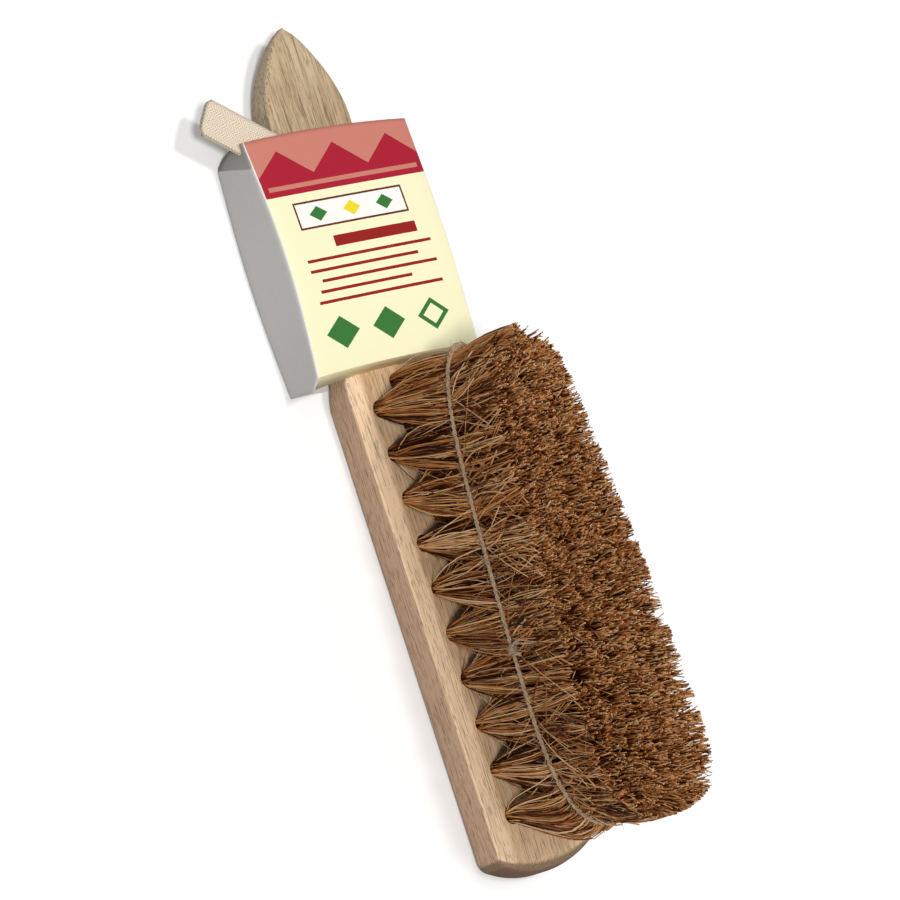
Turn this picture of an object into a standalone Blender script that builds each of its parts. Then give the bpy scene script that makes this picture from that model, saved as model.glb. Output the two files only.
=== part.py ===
"""Hand dusting brush: a one-piece wooden stock set with tufts of coir, lying on its back.

Metres, +Z up.  X runs along the stock towards the head end, Y across it, and the
bristles point up.  The origin is on the flat back of the head, under the middle
of the outer tuft rows.
"""
import math
import random

import bmesh
import bpy
from mathutils import Vector
from mathutils.kdtree import KDTree

# Tuft field
TUFTS_PER_ROW = 10
ROWS = 3
TUFT_PITCH = 0.0176
ROW_SPACING = 0.0115
HOLE_DIAMETER = 0.007
HOLE_DEPTH = 0.0095
BRISTLE_LENGTH = 0.072
PLUG_CLEARANCE = 0.0003
PLUG_PROUD = 0.0004
STRAND_RADIUS = 0.00055
CELL_INSET = 0.00022
TRIM_SCATTER = 0.0012
TIP_HALF_WIDTH = 0.0268
TIP_LEAN = 0.0085
TIP_SIDE_LEAN = 0.0025
TWINE_LEAN = 0.005
STRAND_SEED = 41

# Stock
HEAD_WIDTH = 0.048
STOCK_THICKNESS = 0.015
END_MARGIN = 0.0236
FIRST_MARGIN = 0.005
END_ARC_RISE = 0.0075
END_CORNER_RADIUS = 0.0055
HANDLE_LENGTH = 0.1455
NECK_WIDTH = 0.0284
GRIP_WIDTH = 0.0384
BACK_ROUNDING = 0.0025
GRIP_ROUNDING = 0.0045
FACE_ARRIS = 0.0012
GRIP_ARRIS = 0.0020
END_BEVEL = 0.0036
END_BEVEL_REACH = 0.010
HANDLE_RELIEF = 0.0016
RELIEF_RAMP = 0.008
NOSE_RISE = 0.0095

# Binding twine
TWINE_DIAMETER = 0.0015
TWINE_HEIGHT = 0.040
TWINE_HALF_WIDTH = 0.0214
TWINE_HALF_LENGTH = 0.0922
TWINE_GAP = 0.00035
KNOT_TURNS = 3
KNOT_PITCH = 0.0021
KNOT_TAIL = 0.009

# Card sleeve
SLEEVE_LENGTH = 0.090
SLEEVE_WIDTH = 0.0794
SLEEVE_DEPTH = 0.020
SLEEVE_TO_TUFTS = 0.0034
CARD_THICKNESS = 0.0005
FOLD_RADIUS = 0.0012
BACK_BULGE = 0.0021
FRONT_PINCH = 0.0009
FRONT_BULGE = 0.0029
SLEEVE_RACK = 0.0025
LIP_CLEARANCE = 0.0003
LIP_LEAN = 0.0018
NOTCH_LENGTH = 0.010
FLOOR_CLEARANCE = 0.0006

# Hanging loop and its tack
TAPE_WIDTH = 0.015
TAPE_THICKNESS = 0.0007
TAPE_CLEARANCE = 0.0003
LOOP_REACH = 0.050
LOOP_TAIL = 0.006
LOOP_FOLD_HEIGHT = 0.0046
LOOP_ANGLE = math.radians(238.6)
TACK_INSET = 0.0136
TACK_OFFSET = 0.008
TACK_HEAD_DIAMETER = 0.008
TACK_HEAD_HEIGHT = 0.0015
TACK_SHANK_DIAMETER = 0.0016
TACK_LENGTH = 0.009
TACK_CLEARANCE = 0.0003

# Cutters run past what they cut by this much
OVERRUN = 0.002

# Handle outline: share of the handle from the shoulder to the tip, then the
# share of the way from the first named width to the second
SHOULDER_SHARES = ((0.0, 0.0), (0.04, 0.04), (0.10, 0.27), (0.17, 0.62), (0.25, 0.9), (0.34, 1.0))
GRIP_SHARES = ((0.42, 0.04), (0.52, 0.22), (0.61, 0.62), (0.68, 0.91), (0.74, 0.99))
TIP_SHARES = ((0.79, 0.965), (0.84, 0.86), (0.885, 0.715), (0.92, 0.56), (0.955, 0.385), (0.98, 0.21),
              (1.0, 0.0))

# The handle's back rises from this share of its length to the tip
NOSE_SHARE = 0.78

# The tied bundle and its tips: how much narrower the handle end is, and how
# square the plan is at both ends
TWINE_TAPER_SHARE = 0.45
TWINE_SQUARENESS = 6
TIP_TAPER_SHARE = 0.42
TIP_SQUARENESS = 8
FIELD_FILL_SHARE = 0.94
BUNDLE_LENGTH_SHARE = 0.955
TIP_LENGTH_SHARE = 0.985

# Counts and steps
HOLE_SIDES = 18
SHANK_HOLE_SIDES = 12
TACK_SIDES = 16
END_STEPS = 8
HANDLE_STEPS = 4
ROUNDING_STEPS = 5
ARRIS_STEPS = 3
OUTER_CELLS = 9
INNER_CELLS = 3
KNOT_POINTS = 10
BELT_POINTS = 80
BELT_SAMPLES = 2000
BELT_RESOLUTION = 2
KNOT_RESOLUTION = 1
SLEEVE_STATIONS = 10
FOLD_STEPS = 3
FOLD_POINTS = 8
DOME_STEPS = 4

# Other shares
INNER_RING_SHARE = 0.42
CELL_REACH_SHARE = 0.82
TAIL_SPREAD_SHARE = 0.35
INSET_LIMIT_SHARE = 0.55
SIDE_KNOT_SHARE = 0.80
END_KNOT_SHARE = 0.49

BELT_EASE = 0.5
MILLIMETRE = 0.001
WELD = 0.00001

# Derived places
FIELD_HALF = (TUFTS_PER_ROW - 1) / 2 * TUFT_PITCH
LATTICE_HALF = (TUFTS_PER_ROW + 1 / 2) / 2 * TUFT_PITCH
LATTICE_CENTRE = -TUFT_PITCH / 4
HEAD_END = FIELD_HALF + END_MARGIN
SHOULDER = -FIELD_HALF - FIRST_MARGIN
HANDLE_TIP = SHOULDER - HANDLE_LENGTH
NOSE_START = SHOULDER - HANDLE_LENGTH * NOSE_SHARE
FACE_Z = STOCK_THICKNESS
TWINE_Z = FACE_Z + TWINE_HEIGHT
TWINE_CENTRE = LATTICE_CENTRE + TWINE_LEAN
KNOT_RADIUS = TWINE_DIAMETER * 4 / 5
TIP_Z = FACE_Z + BRISTLE_LENGTH
PLUG_RADIUS = HOLE_DIAMETER / 2 - PLUG_CLEARANCE
FIRST_TUFT_EDGE = -FIELD_HALF - TUFT_PITCH / 2 - HOLE_DIAMETER / 2
SLEEVE_MOUTH = FIRST_TUFT_EDGE - SLEEVE_TO_TUFTS
SLEEVE_TOP = SLEEVE_MOUTH - SLEEVE_LENGTH
SLEEVE_FRONT_Z = FLOOR_CLEARANCE + SLEEVE_DEPTH
TACK_X = SLEEVE_TOP + TACK_INSET
TACK_Y = -TACK_OFFSET


for old in list(bpy.data.objects):
    bpy.data.objects.remove(old, do_unlink=True)


def material(name, colour, roughness, metallic=0.0):
    mat = bpy.data.materials.new(name)
    mat.use_nodes = True
    shader = mat.node_tree.nodes["Principled BSDF"]
    shader.inputs["Base Color"].default_value = (*colour, 1.0)
    shader.inputs["Roughness"].default_value = roughness
    shader.inputs["Metallic"].default_value = metallic
    return mat


WOOD = material("rubberwood", (0.60, 0.44, 0.29), 0.62)
COIR = material("coir_fibre", (0.19, 0.085, 0.035), 0.8)
JUTE = material("jute_twine", (0.34, 0.25, 0.16), 0.85)
CARD = material("printed_card", (0.90, 0.84, 0.62), 0.55)
COTTON = material("cotton_tape", (0.76, 0.68, 0.55), 0.9)
STEEL = material("tack_steel", (0.62, 0.61, 0.59), 0.3, 1.0)


def new_object(name, bm, mat, smooth_angle=None):
    mesh = bpy.data.meshes.new(name)
    bmesh.ops.recalc_face_normals(bm, faces=bm.faces)
    bm.to_mesh(mesh)
    bm.free()
    mesh.materials.append(mat)
    if smooth_angle is not None:
        mesh.shade_smooth()
        mesh.set_sharp_from_angle(angle=smooth_angle)
    obj = bpy.data.objects.new(name, mesh)
    bpy.context.scene.collection.objects.link(obj)
    return obj


def cutter(name, bm):
    obj = new_object(name, bm, WOOD)
    obj.hide_render = True
    obj.display_type = "WIRE"
    return obj


def cut(obj, tool, operation="DIFFERENCE"):
    mod = obj.modifiers.new(tool.name, "BOOLEAN")
    mod.operation = operation
    mod.solver = "EXACT"
    mod.object = tool


def add_cylinder(bm, centre, radius, bottom, top, sides):
    made = bmesh.ops.create_cone(bm, cap_ends=True, segments=sides, radius1=radius,
                                 radius2=radius, depth=top - bottom)
    bmesh.ops.translate(bm, verts=made["verts"],
                        vec=Vector((centre[0], centre[1], (top + bottom) / 2)))


def lerp(a, b, share):
    return a + (b - a) * share


# Stock

def smooth_through(points, steps):
    """A Catmull-Rom curve through the points, with some steps between each two."""
    line = []
    last = len(points) - 1
    for k in range(last):
        p0 = points[max(k - 1, 0)]
        p1, p2 = points[k], points[k + 1]
        p3 = points[min(k + 2, last)]
        for step in range(steps):
            t = step / steps
            blend = ((-t + 2 * t * t - t ** 3) / 2, (2 - 5 * t * t + 3 * t ** 3) / 2,
                     (t + 4 * t * t - 3 * t ** 3) / 2, (t ** 3 - t * t) / 2)
            line.append(tuple(sum(w * p[axis] for w, p in zip(blend, (p0, p1, p2, p3)))
                              for axis in (0, 1)))
    line.append(points[last])
    return line


def handle_side():
    """Half widths along one side of the handle, from the shoulder to the tip."""
    head, neck, grip = HEAD_WIDTH / 2, NECK_WIDTH / 2, GRIP_WIDTH / 2
    points = []
    for along, share in SHOULDER_SHARES:
        points.append((SHOULDER - along * HANDLE_LENGTH, lerp(head, neck, share)))
    for along, share in GRIP_SHARES:
        points.append((SHOULDER - along * HANDLE_LENGTH, lerp(neck, grip, share)))
    for along, share in TIP_SHARES:
        points.append((SHOULDER - along * HANDLE_LENGTH, grip * share))
    return smooth_through(points, HANDLE_STEPS)


def head_end_side():
    """The end arc of the head from its middle to the corner, and the rounded corner."""
    half = HEAD_WIDTH / 2
    arc_radius = (half ** 2 + END_ARC_RISE ** 2) / (2 * END_ARC_RISE)
    centre = HEAD_END - arc_radius
    reach = arc_radius - END_CORNER_RADIUS
    corner_y = half - END_CORNER_RADIUS
    turn = math.asin(corner_y / reach)
    corner_x = centre + reach * math.cos(turn)
    points = []
    for k in range(END_STEPS + 1):
        angle = turn * k / END_STEPS
        points.append((centre + arc_radius * math.cos(angle), arc_radius * math.sin(angle)))
    for k in range(1, END_STEPS + 1):
        angle = lerp(turn, math.pi / 2, k / END_STEPS)
        points.append((corner_x + END_CORNER_RADIUS * math.cos(angle),
                       corner_y + END_CORNER_RADIUS * math.sin(angle)))
    return points


def ramp(start, end, x):
    """0 up to the start, 1 past the end, and the share of the way between them."""
    return min(1.0, max(0.0, (x - start) / (end - start)))


def edge_profile(x):
    """Inset and height pairs up the edge of the stock: round at the back, eased at the face."""
    handle = ramp(SHOULDER, SHOULDER - RELIEF_RAMP, x)
    head_end = ramp(HEAD_END - END_BEVEL_REACH, HEAD_END, x)
    rounding = lerp(BACK_ROUNDING, GRIP_ROUNDING, handle)
    arris = lerp(lerp(FACE_ARRIS, GRIP_ARRIS, handle), END_BEVEL, head_end)
    bottom = HANDLE_RELIEF * handle + NOSE_RISE * ramp(NOSE_START, HANDLE_TIP, x) ** 2
    rings = []
    for k in range(ROUNDING_STEPS + 1):
        angle = math.pi / 2 * k / ROUNDING_STEPS
        rings.append((rounding * (1 - math.sin(angle)), rounding * (1 - math.cos(angle))))
    for k in range(ARRIS_STEPS + 1):
        angle = math.pi / 2 * k / ARRIS_STEPS
        rings.append((arris * (1 - math.cos(angle)), STOCK_THICKNESS - arris * (1 - math.sin(angle))))
    return [(inset, lerp(bottom, STOCK_THICKNESS, height / STOCK_THICKNESS)) for inset, height in rings]


def build_stock():
    side = head_end_side() + handle_side()
    count = len(side)
    outline = side + [(x, -y) for x, y in reversed(side[1:-1])]
    total = len(outline)
    bm = bmesh.new()
    columns = []
    for k, (x, y) in enumerate(outline):
        before, after = outline[k - 1], outline[(k + 1) % total]
        along = Vector((after[0] - before[0], after[1] - before[1])).normalized()
        limit = max(abs(y), x) * INSET_LIMIT_SHARE
        column = []
        for inset, height in edge_profile(x):
            inward = min(inset, limit)
            column.append(bm.verts.new((x - along.y * inward, y + along.x * inward, height)))
        columns.append(column)
    rings = list(zip(*columns))
    for low, high in zip(rings, rings[1:]):
        for k in range(total):
            after = (k + 1) % total
            bm.faces.new((low[k], low[after], high[after], high[k]))
    for ring in (rings[0], rings[-1]):
        for k in range(count - 1):
            corners = [ring[k], ring[k + 1], ring[(total - k - 1) % total], ring[(total - k) % total]]
            bm.faces.new(list(dict.fromkeys(corners)))
    stock = new_object("stock", bm, WOOD, math.radians(35))
    cut(stock, tuft_hole_cutter())
    return stock


def tuft_places():
    """Row, number along the row, and the centre of each tuft's hole."""
    places = []
    for row in range(ROWS):
        y = (row - (ROWS - 1) / 2) * ROW_SPACING
        stagger = TUFT_PITCH / 2 * (row % 2)
        for number in range(TUFTS_PER_ROW):
            places.append((row, number, number * TUFT_PITCH - FIELD_HALF - stagger, y))
    return places


def tuft_hole_cutter():
    bm = bmesh.new()
    for row, number, x, y in tuft_places():
        add_cylinder(bm, (x, y), HOLE_DIAMETER / 2, FACE_Z - HOLE_DEPTH, FACE_Z + OVERRUN, HOLE_SIDES)
    shank_hole = TACK_SHANK_DIAMETER / 2 + TACK_CLEARANCE
    add_cylinder(bm, (TACK_X, TACK_Y), shank_hole, FACE_Z - TACK_LENGTH, FACE_Z + OVERRUN,
                 SHANK_HOLE_SIDES)
    return cutter("hole_cutter", bm)


# Tufts

def plan_half_width(along, widest, taper, squareness):
    """Half width of a bundle's plan; along runs from -1 at the handle end to 1."""
    end = math.sqrt(max(0.0, 1 - abs(along) ** squareness))
    return widest * end * (1 - taper * ((1 - along) / 2) ** 2)


def cell_shares(row, x_base, unit):
    """A strand's place in the whole field: -1 to 1 along it and across it."""
    x_cell = x_base + unit.x * TUFT_PITCH / 2 * FIELD_FILL_SHARE
    along = (x_cell - LATTICE_CENTRE) / LATTICE_HALF
    last_row = (ROWS - 1) / 2
    across = (row - last_row + unit.y / 2 * FIELD_FILL_SHARE) / (last_row + FIELD_FILL_SHARE / 2)
    return along, across


def at_twine(row, x_base, unit):
    """Where a strand passes the belt, just inside it."""
    along, across = cell_shares(row, x_base, unit)
    x = TWINE_CENTRE + along * LATTICE_HALF * BUNDLE_LENGTH_SHARE
    within = (x - TWINE_CENTRE) / TWINE_HALF_LENGTH
    clear = TWINE_DIAMETER / 2 + TWINE_GAP + STRAND_RADIUS
    half = plan_half_width(within, TWINE_HALF_WIDTH, TWINE_TAPER_SHARE, TWINE_SQUARENESS) - clear
    return Vector((x, across * half, TWINE_Z))


def at_tips(row, x_base, unit):
    """Where a strand ends, above the belt."""
    along, across = cell_shares(row, x_base, unit)
    x = LATTICE_CENTRE + TIP_LEAN + along * LATTICE_HALF * TIP_LENGTH_SHARE
    half = plan_half_width(along, TIP_HALF_WIDTH, TIP_TAPER_SHARE, TIP_SQUARENESS)
    return Vector((x, across * half + TIP_SIDE_LEAN, TIP_Z))


def build_tuft(row, number, x_base, y_base, rng):
    """A plug of fibres in its hole, fanning out above the face in thirteen strands."""
    bm = bmesh.new()
    top = FACE_Z + PLUG_PROUD
    bottom = FACE_Z - HOLE_DEPTH + PLUG_CLEARANCE

    def ring(radius, count, z):
        verts = []
        for k in range(count):
            angle = 2 * math.pi * k / count
            verts.append(bm.verts.new((x_base + radius * math.cos(angle),
                                       y_base + radius * math.sin(angle), z)))
        return verts

    low = ring(PLUG_RADIUS, OUTER_CELLS, bottom)
    high = ring(PLUG_RADIUS, OUTER_CELLS, top)
    inner = ring(PLUG_RADIUS * INNER_RING_SHARE, INNER_CELLS, top)
    bm.faces.new(list(reversed(low)))
    for k in range(OUTER_CELLS):
        after = (k + 1) % OUTER_CELLS
        bm.faces.new((low[k], low[after], high[after], high[k]))
    cells = [bm.faces.new(inner)]
    for k in range(INNER_CELLS):
        first = k * (OUTER_CELLS // INNER_CELLS) - 1
        for step in range(OUTER_CELLS // INNER_CELLS):
            cells.append(bm.faces.new((high[first + step], high[(first + step + 1) % OUTER_CELLS],
                                       inner[k])))
        last = high[(first + OUTER_CELLS // INNER_CELLS) % OUTER_CELLS]
        cells.append(bm.faces.new((inner[k], last, inner[(k + 1) % INNER_CELLS])))
    bmesh.ops.inset_individual(bm, faces=cells, thickness=CELL_INSET, use_even_offset=True)
    for cell in cells:
        here = cell.calc_center_median()
        unit = Vector((here.x - x_base, here.y - y_base)) / (PLUG_RADIUS * CELL_REACH_SHARE)
        size = max((vert.co - here).length for vert in cell.verts)
        corners = [(vert.co - here) * (STRAND_RADIUS / size) for vert in cell.verts]
        trim = Vector((0.0, 0.0, rng.random() * TRIM_SCATTER))
        for target in (at_twine(row, x_base, unit), at_tips(row, x_base, unit) - trim):
            cell = bmesh.ops.extrude_discrete_faces(bm, faces=[cell])["faces"][0]
            for vert, corner in zip(cell.verts, corners):
                vert.co = target + corner
    return new_object(f"tuft_row{row + 1}_{number + 1:02d}", bm, COIR)


def build_tufts():
    rng = random.Random(STRAND_SEED)
    for row, number, x, y in tuft_places():
        build_tuft(row, number, x, y, rng)


# Binding twine

def belt_point(turn):
    """A point of the belt's plan, once round for a turn of 0 to 1."""
    angle = 2 * math.pi * turn
    along = math.copysign(abs(math.cos(angle)) ** BELT_EASE, math.cos(angle))
    half = plan_half_width(along, TWINE_HALF_WIDTH, TWINE_TAPER_SHARE, TWINE_SQUARENESS)
    return Vector((TWINE_CENTRE + along * TWINE_HALF_LENGTH, math.copysign(half, math.sin(angle)), TWINE_Z))


def even_belt(count):
    """Points spaced evenly round the belt."""
    fine = [belt_point(k / BELT_SAMPLES) for k in range(BELT_SAMPLES)]
    lengths = [0.0]
    for k in range(BELT_SAMPLES):
        lengths.append(lengths[-1] + (fine[(k + 1) % BELT_SAMPLES] - fine[k]).length)
    points = []
    k = 0
    for step in range(count):
        wanted = lengths[-1] * step / count
        while lengths[k + 1] < wanted:
            k += 1
        share = (wanted - lengths[k]) / (lengths[k + 1] - lengths[k])
        points.append(fine[k].lerp(fine[(k + 1) % BELT_SAMPLES], share))
    return points


def tube(name, points, diameter, resolution, mat, cyclic=False):
    curve = bpy.data.curves.new(name, "CURVE")
    curve.dimensions = "3D"
    curve.bevel_depth = diameter / 2
    curve.bevel_resolution = resolution
    curve.render_resolution_u = 0
    curve.use_fill_caps = not cyclic
    spline = curve.splines.new("POLY")
    spline.points.add(len(points) - 1)
    for spot, point in zip(spline.points, points):
        spot.co = (*point, 1.0)
    spline.use_cyclic_u = cyclic
    curve.materials.append(mat)
    obj = bpy.data.objects.new(name, curve)
    bpy.context.scene.collection.objects.link(obj)
    return obj


def least_gap(points, diameter):
    """Least clear gap of a tube to its own turns, leaving out its next points."""
    tree = KDTree(len(points))
    for k, point in enumerate(points):
        tree.insert(point, k)
    tree.balance()
    gap = math.inf
    for k, point in enumerate(points):
        for other, index, distance in tree.find_range(point, KNOT_RADIUS * 2):
            if abs(index - k) > KNOT_POINTS // 2:
                gap = min(gap, distance - diameter)
    return gap


def build_knot(name, centre, outward):
    """Three turns of the twine's end beside the belt, with two short tails."""
    outward = outward.normalized()
    up = Vector((0.0, 0.0, 1.0))
    along = up.cross(outward)
    middle = centre + outward * (KNOT_RADIUS + TWINE_DIAMETER + TWINE_GAP)
    half = KNOT_TURNS * KNOT_PITCH / 2
    points = []
    for k in range(KNOT_TURNS * KNOT_POINTS + 1):
        turn = k / KNOT_POINTS
        angle = 2 * math.pi * turn
        points.append(middle + along * (turn * KNOT_PITCH - half)
                      + outward * (KNOT_RADIUS * math.cos(angle)) + up * (KNOT_RADIUS * math.sin(angle)))
    rise = up * KNOT_TAIL
    spread = along * (KNOT_TAIL * TAIL_SPREAD_SHARE)
    first_tail = [points[0] - rise - spread, points[0] - rise / 2 - spread / 2]
    last_tail = [points[-1] + rise / 2 + spread / 2, points[-1] + rise + spread]
    points = first_tail + points + last_tail
    print(name, "least gap to itself, mm:", round(least_gap(points, TWINE_DIAMETER) / MILLIMETRE, 2))
    return tube(name, points, TWINE_DIAMETER, KNOT_RESOLUTION, JUTE)


def build_twine():
    points = even_belt(BELT_POINTS)
    tube("binding_twine", points, TWINE_DIAMETER, BELT_RESOLUTION, JUTE, cyclic=True)
    for name, share in (("twine_side_knot", SIDE_KNOT_SHARE), ("twine_end_knot", END_KNOT_SHARE)):
        k = round(share * BELT_POINTS)
        along = points[(k + 1) % BELT_POINTS] - points[k - 1]
        build_knot(name, points[k], Vector((along.y, -along.x, 0.0)))


# Card sleeve

def sleeve_section(x, share, inset):
    """One section of the sleeve: a rounded oblong, fuller in the middle of its length."""
    bulge = math.sin(math.pi * share)
    half_front = SLEEVE_WIDTH / 2 - FRONT_PINCH * bulge - inset
    half_back = SLEEVE_WIDTH / 2 + BACK_BULGE * bulge - inset
    low = FLOOR_CLEARANCE + inset
    high = SLEEVE_FRONT_Z + FRONT_BULGE * bulge - inset
    radius = FOLD_RADIUS - inset
    corners = ((half_front, high, 0), (-half_front, high, 1), (-half_back, low, 2), (half_back, low, 3))
    points = []
    for y, z, quarter in corners:
        centre_y = y - math.copysign(radius, y)
        centre_z = z - radius if quarter < 2 else z + radius
        for k in range(FOLD_STEPS + 1):
            angle = math.pi / 2 * (quarter + k / FOLD_STEPS)
            height = centre_z + radius * math.sin(angle)
            rack = SLEEVE_RACK * (SLEEVE_FRONT_Z - height) / SLEEVE_DEPTH
            points.append((x + rack, centre_y + radius * math.cos(angle), height))
    return points


def build_sleeve():
    """A folded card sleeve round the handle, open at both ends, with a lip on the face."""
    bm = bmesh.new()
    walls = []
    for inset in (0.0, CARD_THICKNESS):
        loops = []
        for k in range(SLEEVE_STATIONS + 1):
            share = k / SLEEVE_STATIONS
            section = sleeve_section(lerp(SLEEVE_TOP, SLEEVE_MOUTH, share), share, inset)
            loops.append([bm.verts.new(point) for point in section])
        walls.append(loops)
    count = len(walls[0][0])
    for loops in walls:
        for first, second in zip(loops, loops[1:]):
            for k in range(count):
                after = (k + 1) % count
                bm.faces.new((first[k], first[after], second[after], second[k]))
    for end in (0, -1):
        outer, inner = walls[0][end], walls[1][end]
        for k in range(count):
            after = (k + 1) % count
            bm.faces.new((outer[k], outer[after], inner[after], inner[k]))
    sleeve = new_object("card_sleeve", bm, CARD, math.radians(40))
    cut(sleeve, lip_tool(), "UNION")
    cut(sleeve, notch_cutter())
    return sleeve


def lip_tool():
    """The front panel's lower edge is folded down until it rests on the stock's face."""
    half = SLEEVE_WIDTH / 2 - FOLD_RADIUS
    low = FACE_Z + LIP_CLEARANCE
    high = SLEEVE_FRONT_Z - CARD_THICKNESS / 2
    bm = bmesh.new()
    made = bmesh.ops.create_cube(bm, size=1.0)
    bmesh.ops.scale(bm, verts=made["verts"], vec=Vector((CARD_THICKNESS, 2 * half, high - low)))
    bmesh.ops.translate(bm, verts=made["verts"],
                        vec=Vector((SLEEVE_MOUTH - CARD_THICKNESS, 0.0, (low + high) / 2)))
    for vert in made["verts"]:
        vert.co.x += LIP_LEAN * (high - vert.co.z) / (high - low)
    return cutter("lip_tool", bm)


def notch_cutter():
    """The near side panel's top corner, which is creased and tucked in beside the loop."""
    low = FLOOR_CLEARANCE + FOLD_RADIUS
    high = SLEEVE_FRONT_Z - FOLD_RADIUS
    profile = ((SLEEVE_TOP - OVERRUN, low), (SLEEVE_TOP, low), (SLEEVE_TOP + NOTCH_LENGTH, high),
               (SLEEVE_TOP - OVERRUN, high))
    outside = -SLEEVE_WIDTH / 2 - BACK_BULGE - OVERRUN
    inside = -SLEEVE_WIDTH / 2 + FOLD_RADIUS
    bm = bmesh.new()
    face = bm.faces.new([bm.verts.new((x, outside, z)) for x, z in profile])
    made = bmesh.ops.extrude_face_region(bm, geom=[face])
    moved = [item for item in made["geom"] if isinstance(item, bmesh.types.BMVert)]
    bmesh.ops.translate(bm, verts=moved, vec=Vector((0.0, inside - outside, 0.0)))
    return cutter("notch_cutter", bm)


# Hanging loop and tack

def loop_line():
    """The tape's middle line seen from its edge: out along the face, round the fold and back."""
    low = TAPE_CLEARANCE + TAPE_THICKNESS / 2
    second = low + TAPE_THICKNESS + TAPE_CLEARANCE
    radius = (LOOP_FOLD_HEIGHT - TAPE_THICKNESS) / 2
    bend = LOOP_REACH - radius
    points = [(-LOOP_TAIL, low), (LOOP_TAIL, low), (LOOP_REACH / 2, low), (bend, low)]
    for k in range(1, FOLD_POINTS + 1):
        angle = math.pi * k / FOLD_POINTS - math.pi / 2
        points.append((bend + radius * math.cos(angle), low + radius + radius * math.sin(angle)))
    points.append((LOOP_REACH / 2, lerp(second, low + 2 * radius, 1 / 2)))
    points.append((LOOP_TAIL * 2, second))
    points.append((-LOOP_TAIL, second))
    return points


def build_loop():
    """A doubled cotton tape whose two ends are tacked to the handle's face."""
    line = loop_line()
    bm = bmesh.new()
    stations = []
    for k, (reach, height) in enumerate(line):
        before, after = line[max(k - 1, 0)], line[min(k + 1, len(line) - 1)]
        along = Vector((after[0] - before[0], after[1] - before[1])).normalized()
        corners = []
        for side, face in ((-1, -1), (1, -1), (1, 1), (-1, 1)):
            offset = face * TAPE_THICKNESS / 2
            corners.append(bm.verts.new((reach - along.y * offset, side * TAPE_WIDTH / 2,
                                         height + along.x * offset)))
        stations.append(corners)
    for first, second in zip(stations, stations[1:]):
        for k in range(len(first)):
            after = (k + 1) % len(first)
            bm.faces.new((first[k], first[after], second[after], second[k]))
    bm.faces.new(stations[0])
    bm.faces.new(stations[-1])
    loop = new_object("hanging_loop", bm, COTTON)
    loop.location = (TACK_X, TACK_Y, FACE_Z)
    loop.rotation_euler = (0.0, 0.0, LOOP_ANGLE)
    hole = bmesh.new()
    add_cylinder(hole, (TACK_X, TACK_Y), TACK_SHANK_DIAMETER / 2 + TACK_CLEARANCE,
                 FACE_Z - OVERRUN, FACE_Z + LOOP_FOLD_HEIGHT + OVERRUN, SHANK_HOLE_SIDES)
    cut(loop, cutter("tack_hole_cutter", hole))
    return loop


def build_tack():
    """A round-headed steel tack through both layers of the tape."""
    under_head = FACE_Z + 2 * (TAPE_CLEARANCE + TAPE_THICKNESS) + TACK_CLEARANCE
    point = FACE_Z - TACK_LENGTH + TACK_CLEARANCE
    shank, head = TACK_SHANK_DIAMETER / 2, TACK_HEAD_DIAMETER / 2
    profile = [(0.0, under_head + TACK_HEAD_HEIGHT)]
    for k in range(1, DOME_STEPS + 1):
        angle = math.pi / 2 * k / DOME_STEPS
        profile.append((head * math.sin(angle), under_head + TACK_HEAD_HEIGHT * math.cos(angle)))
    profile += [(shank, under_head), (shank, point + TACK_HEAD_HEIGHT), (0.0, point)]
    bm = bmesh.new()
    verts = [bm.verts.new((x, 0.0, z)) for x, z in profile]
    edges = [bm.edges.new(pair) for pair in zip(verts, verts[1:])]
    bmesh.ops.spin(bm, geom=verts + edges, cent=(0.0, 0.0, 0.0), axis=(0.0, 0.0, 1.0),
                   angle=2 * math.pi, steps=TACK_SIDES, use_merge=True)
    bmesh.ops.remove_doubles(bm, verts=bm.verts, dist=WELD)
    tack = new_object("loop_tack", bm, STEEL, math.radians(40))
    tack.location = (TACK_X, TACK_Y, 0.0)
    return tack


build_stock()
build_tufts()
build_twine()
build_sleeve()
build_loop()
build_tack()
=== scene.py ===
import math

import bmesh
import bpy
import numpy as np
from mathutils import Matrix, Vector


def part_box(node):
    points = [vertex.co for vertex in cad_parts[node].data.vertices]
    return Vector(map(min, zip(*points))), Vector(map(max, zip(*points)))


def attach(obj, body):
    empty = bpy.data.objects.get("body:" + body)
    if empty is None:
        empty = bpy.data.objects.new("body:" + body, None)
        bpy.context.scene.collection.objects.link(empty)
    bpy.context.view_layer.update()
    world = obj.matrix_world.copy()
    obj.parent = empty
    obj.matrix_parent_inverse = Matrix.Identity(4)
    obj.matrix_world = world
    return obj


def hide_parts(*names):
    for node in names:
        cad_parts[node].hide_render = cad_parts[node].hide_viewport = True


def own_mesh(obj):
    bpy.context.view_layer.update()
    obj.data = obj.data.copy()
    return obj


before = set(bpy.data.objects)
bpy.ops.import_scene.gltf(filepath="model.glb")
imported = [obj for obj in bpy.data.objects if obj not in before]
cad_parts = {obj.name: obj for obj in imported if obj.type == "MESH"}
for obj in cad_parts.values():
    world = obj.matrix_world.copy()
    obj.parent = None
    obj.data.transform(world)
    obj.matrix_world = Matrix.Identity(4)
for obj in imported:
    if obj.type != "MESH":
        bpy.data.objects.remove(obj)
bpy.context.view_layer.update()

scene = bpy.context.scene
scene.view_settings.view_transform = "Standard"


# The studio
# A white table top under soft daylight.  One light shines from the near side and one from
# nearly overhead, a little from the far side, so a narrow shadow falls beside the near edges.
# The camera is a metre and a half away and looks down at a little over half a right angle.

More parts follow.
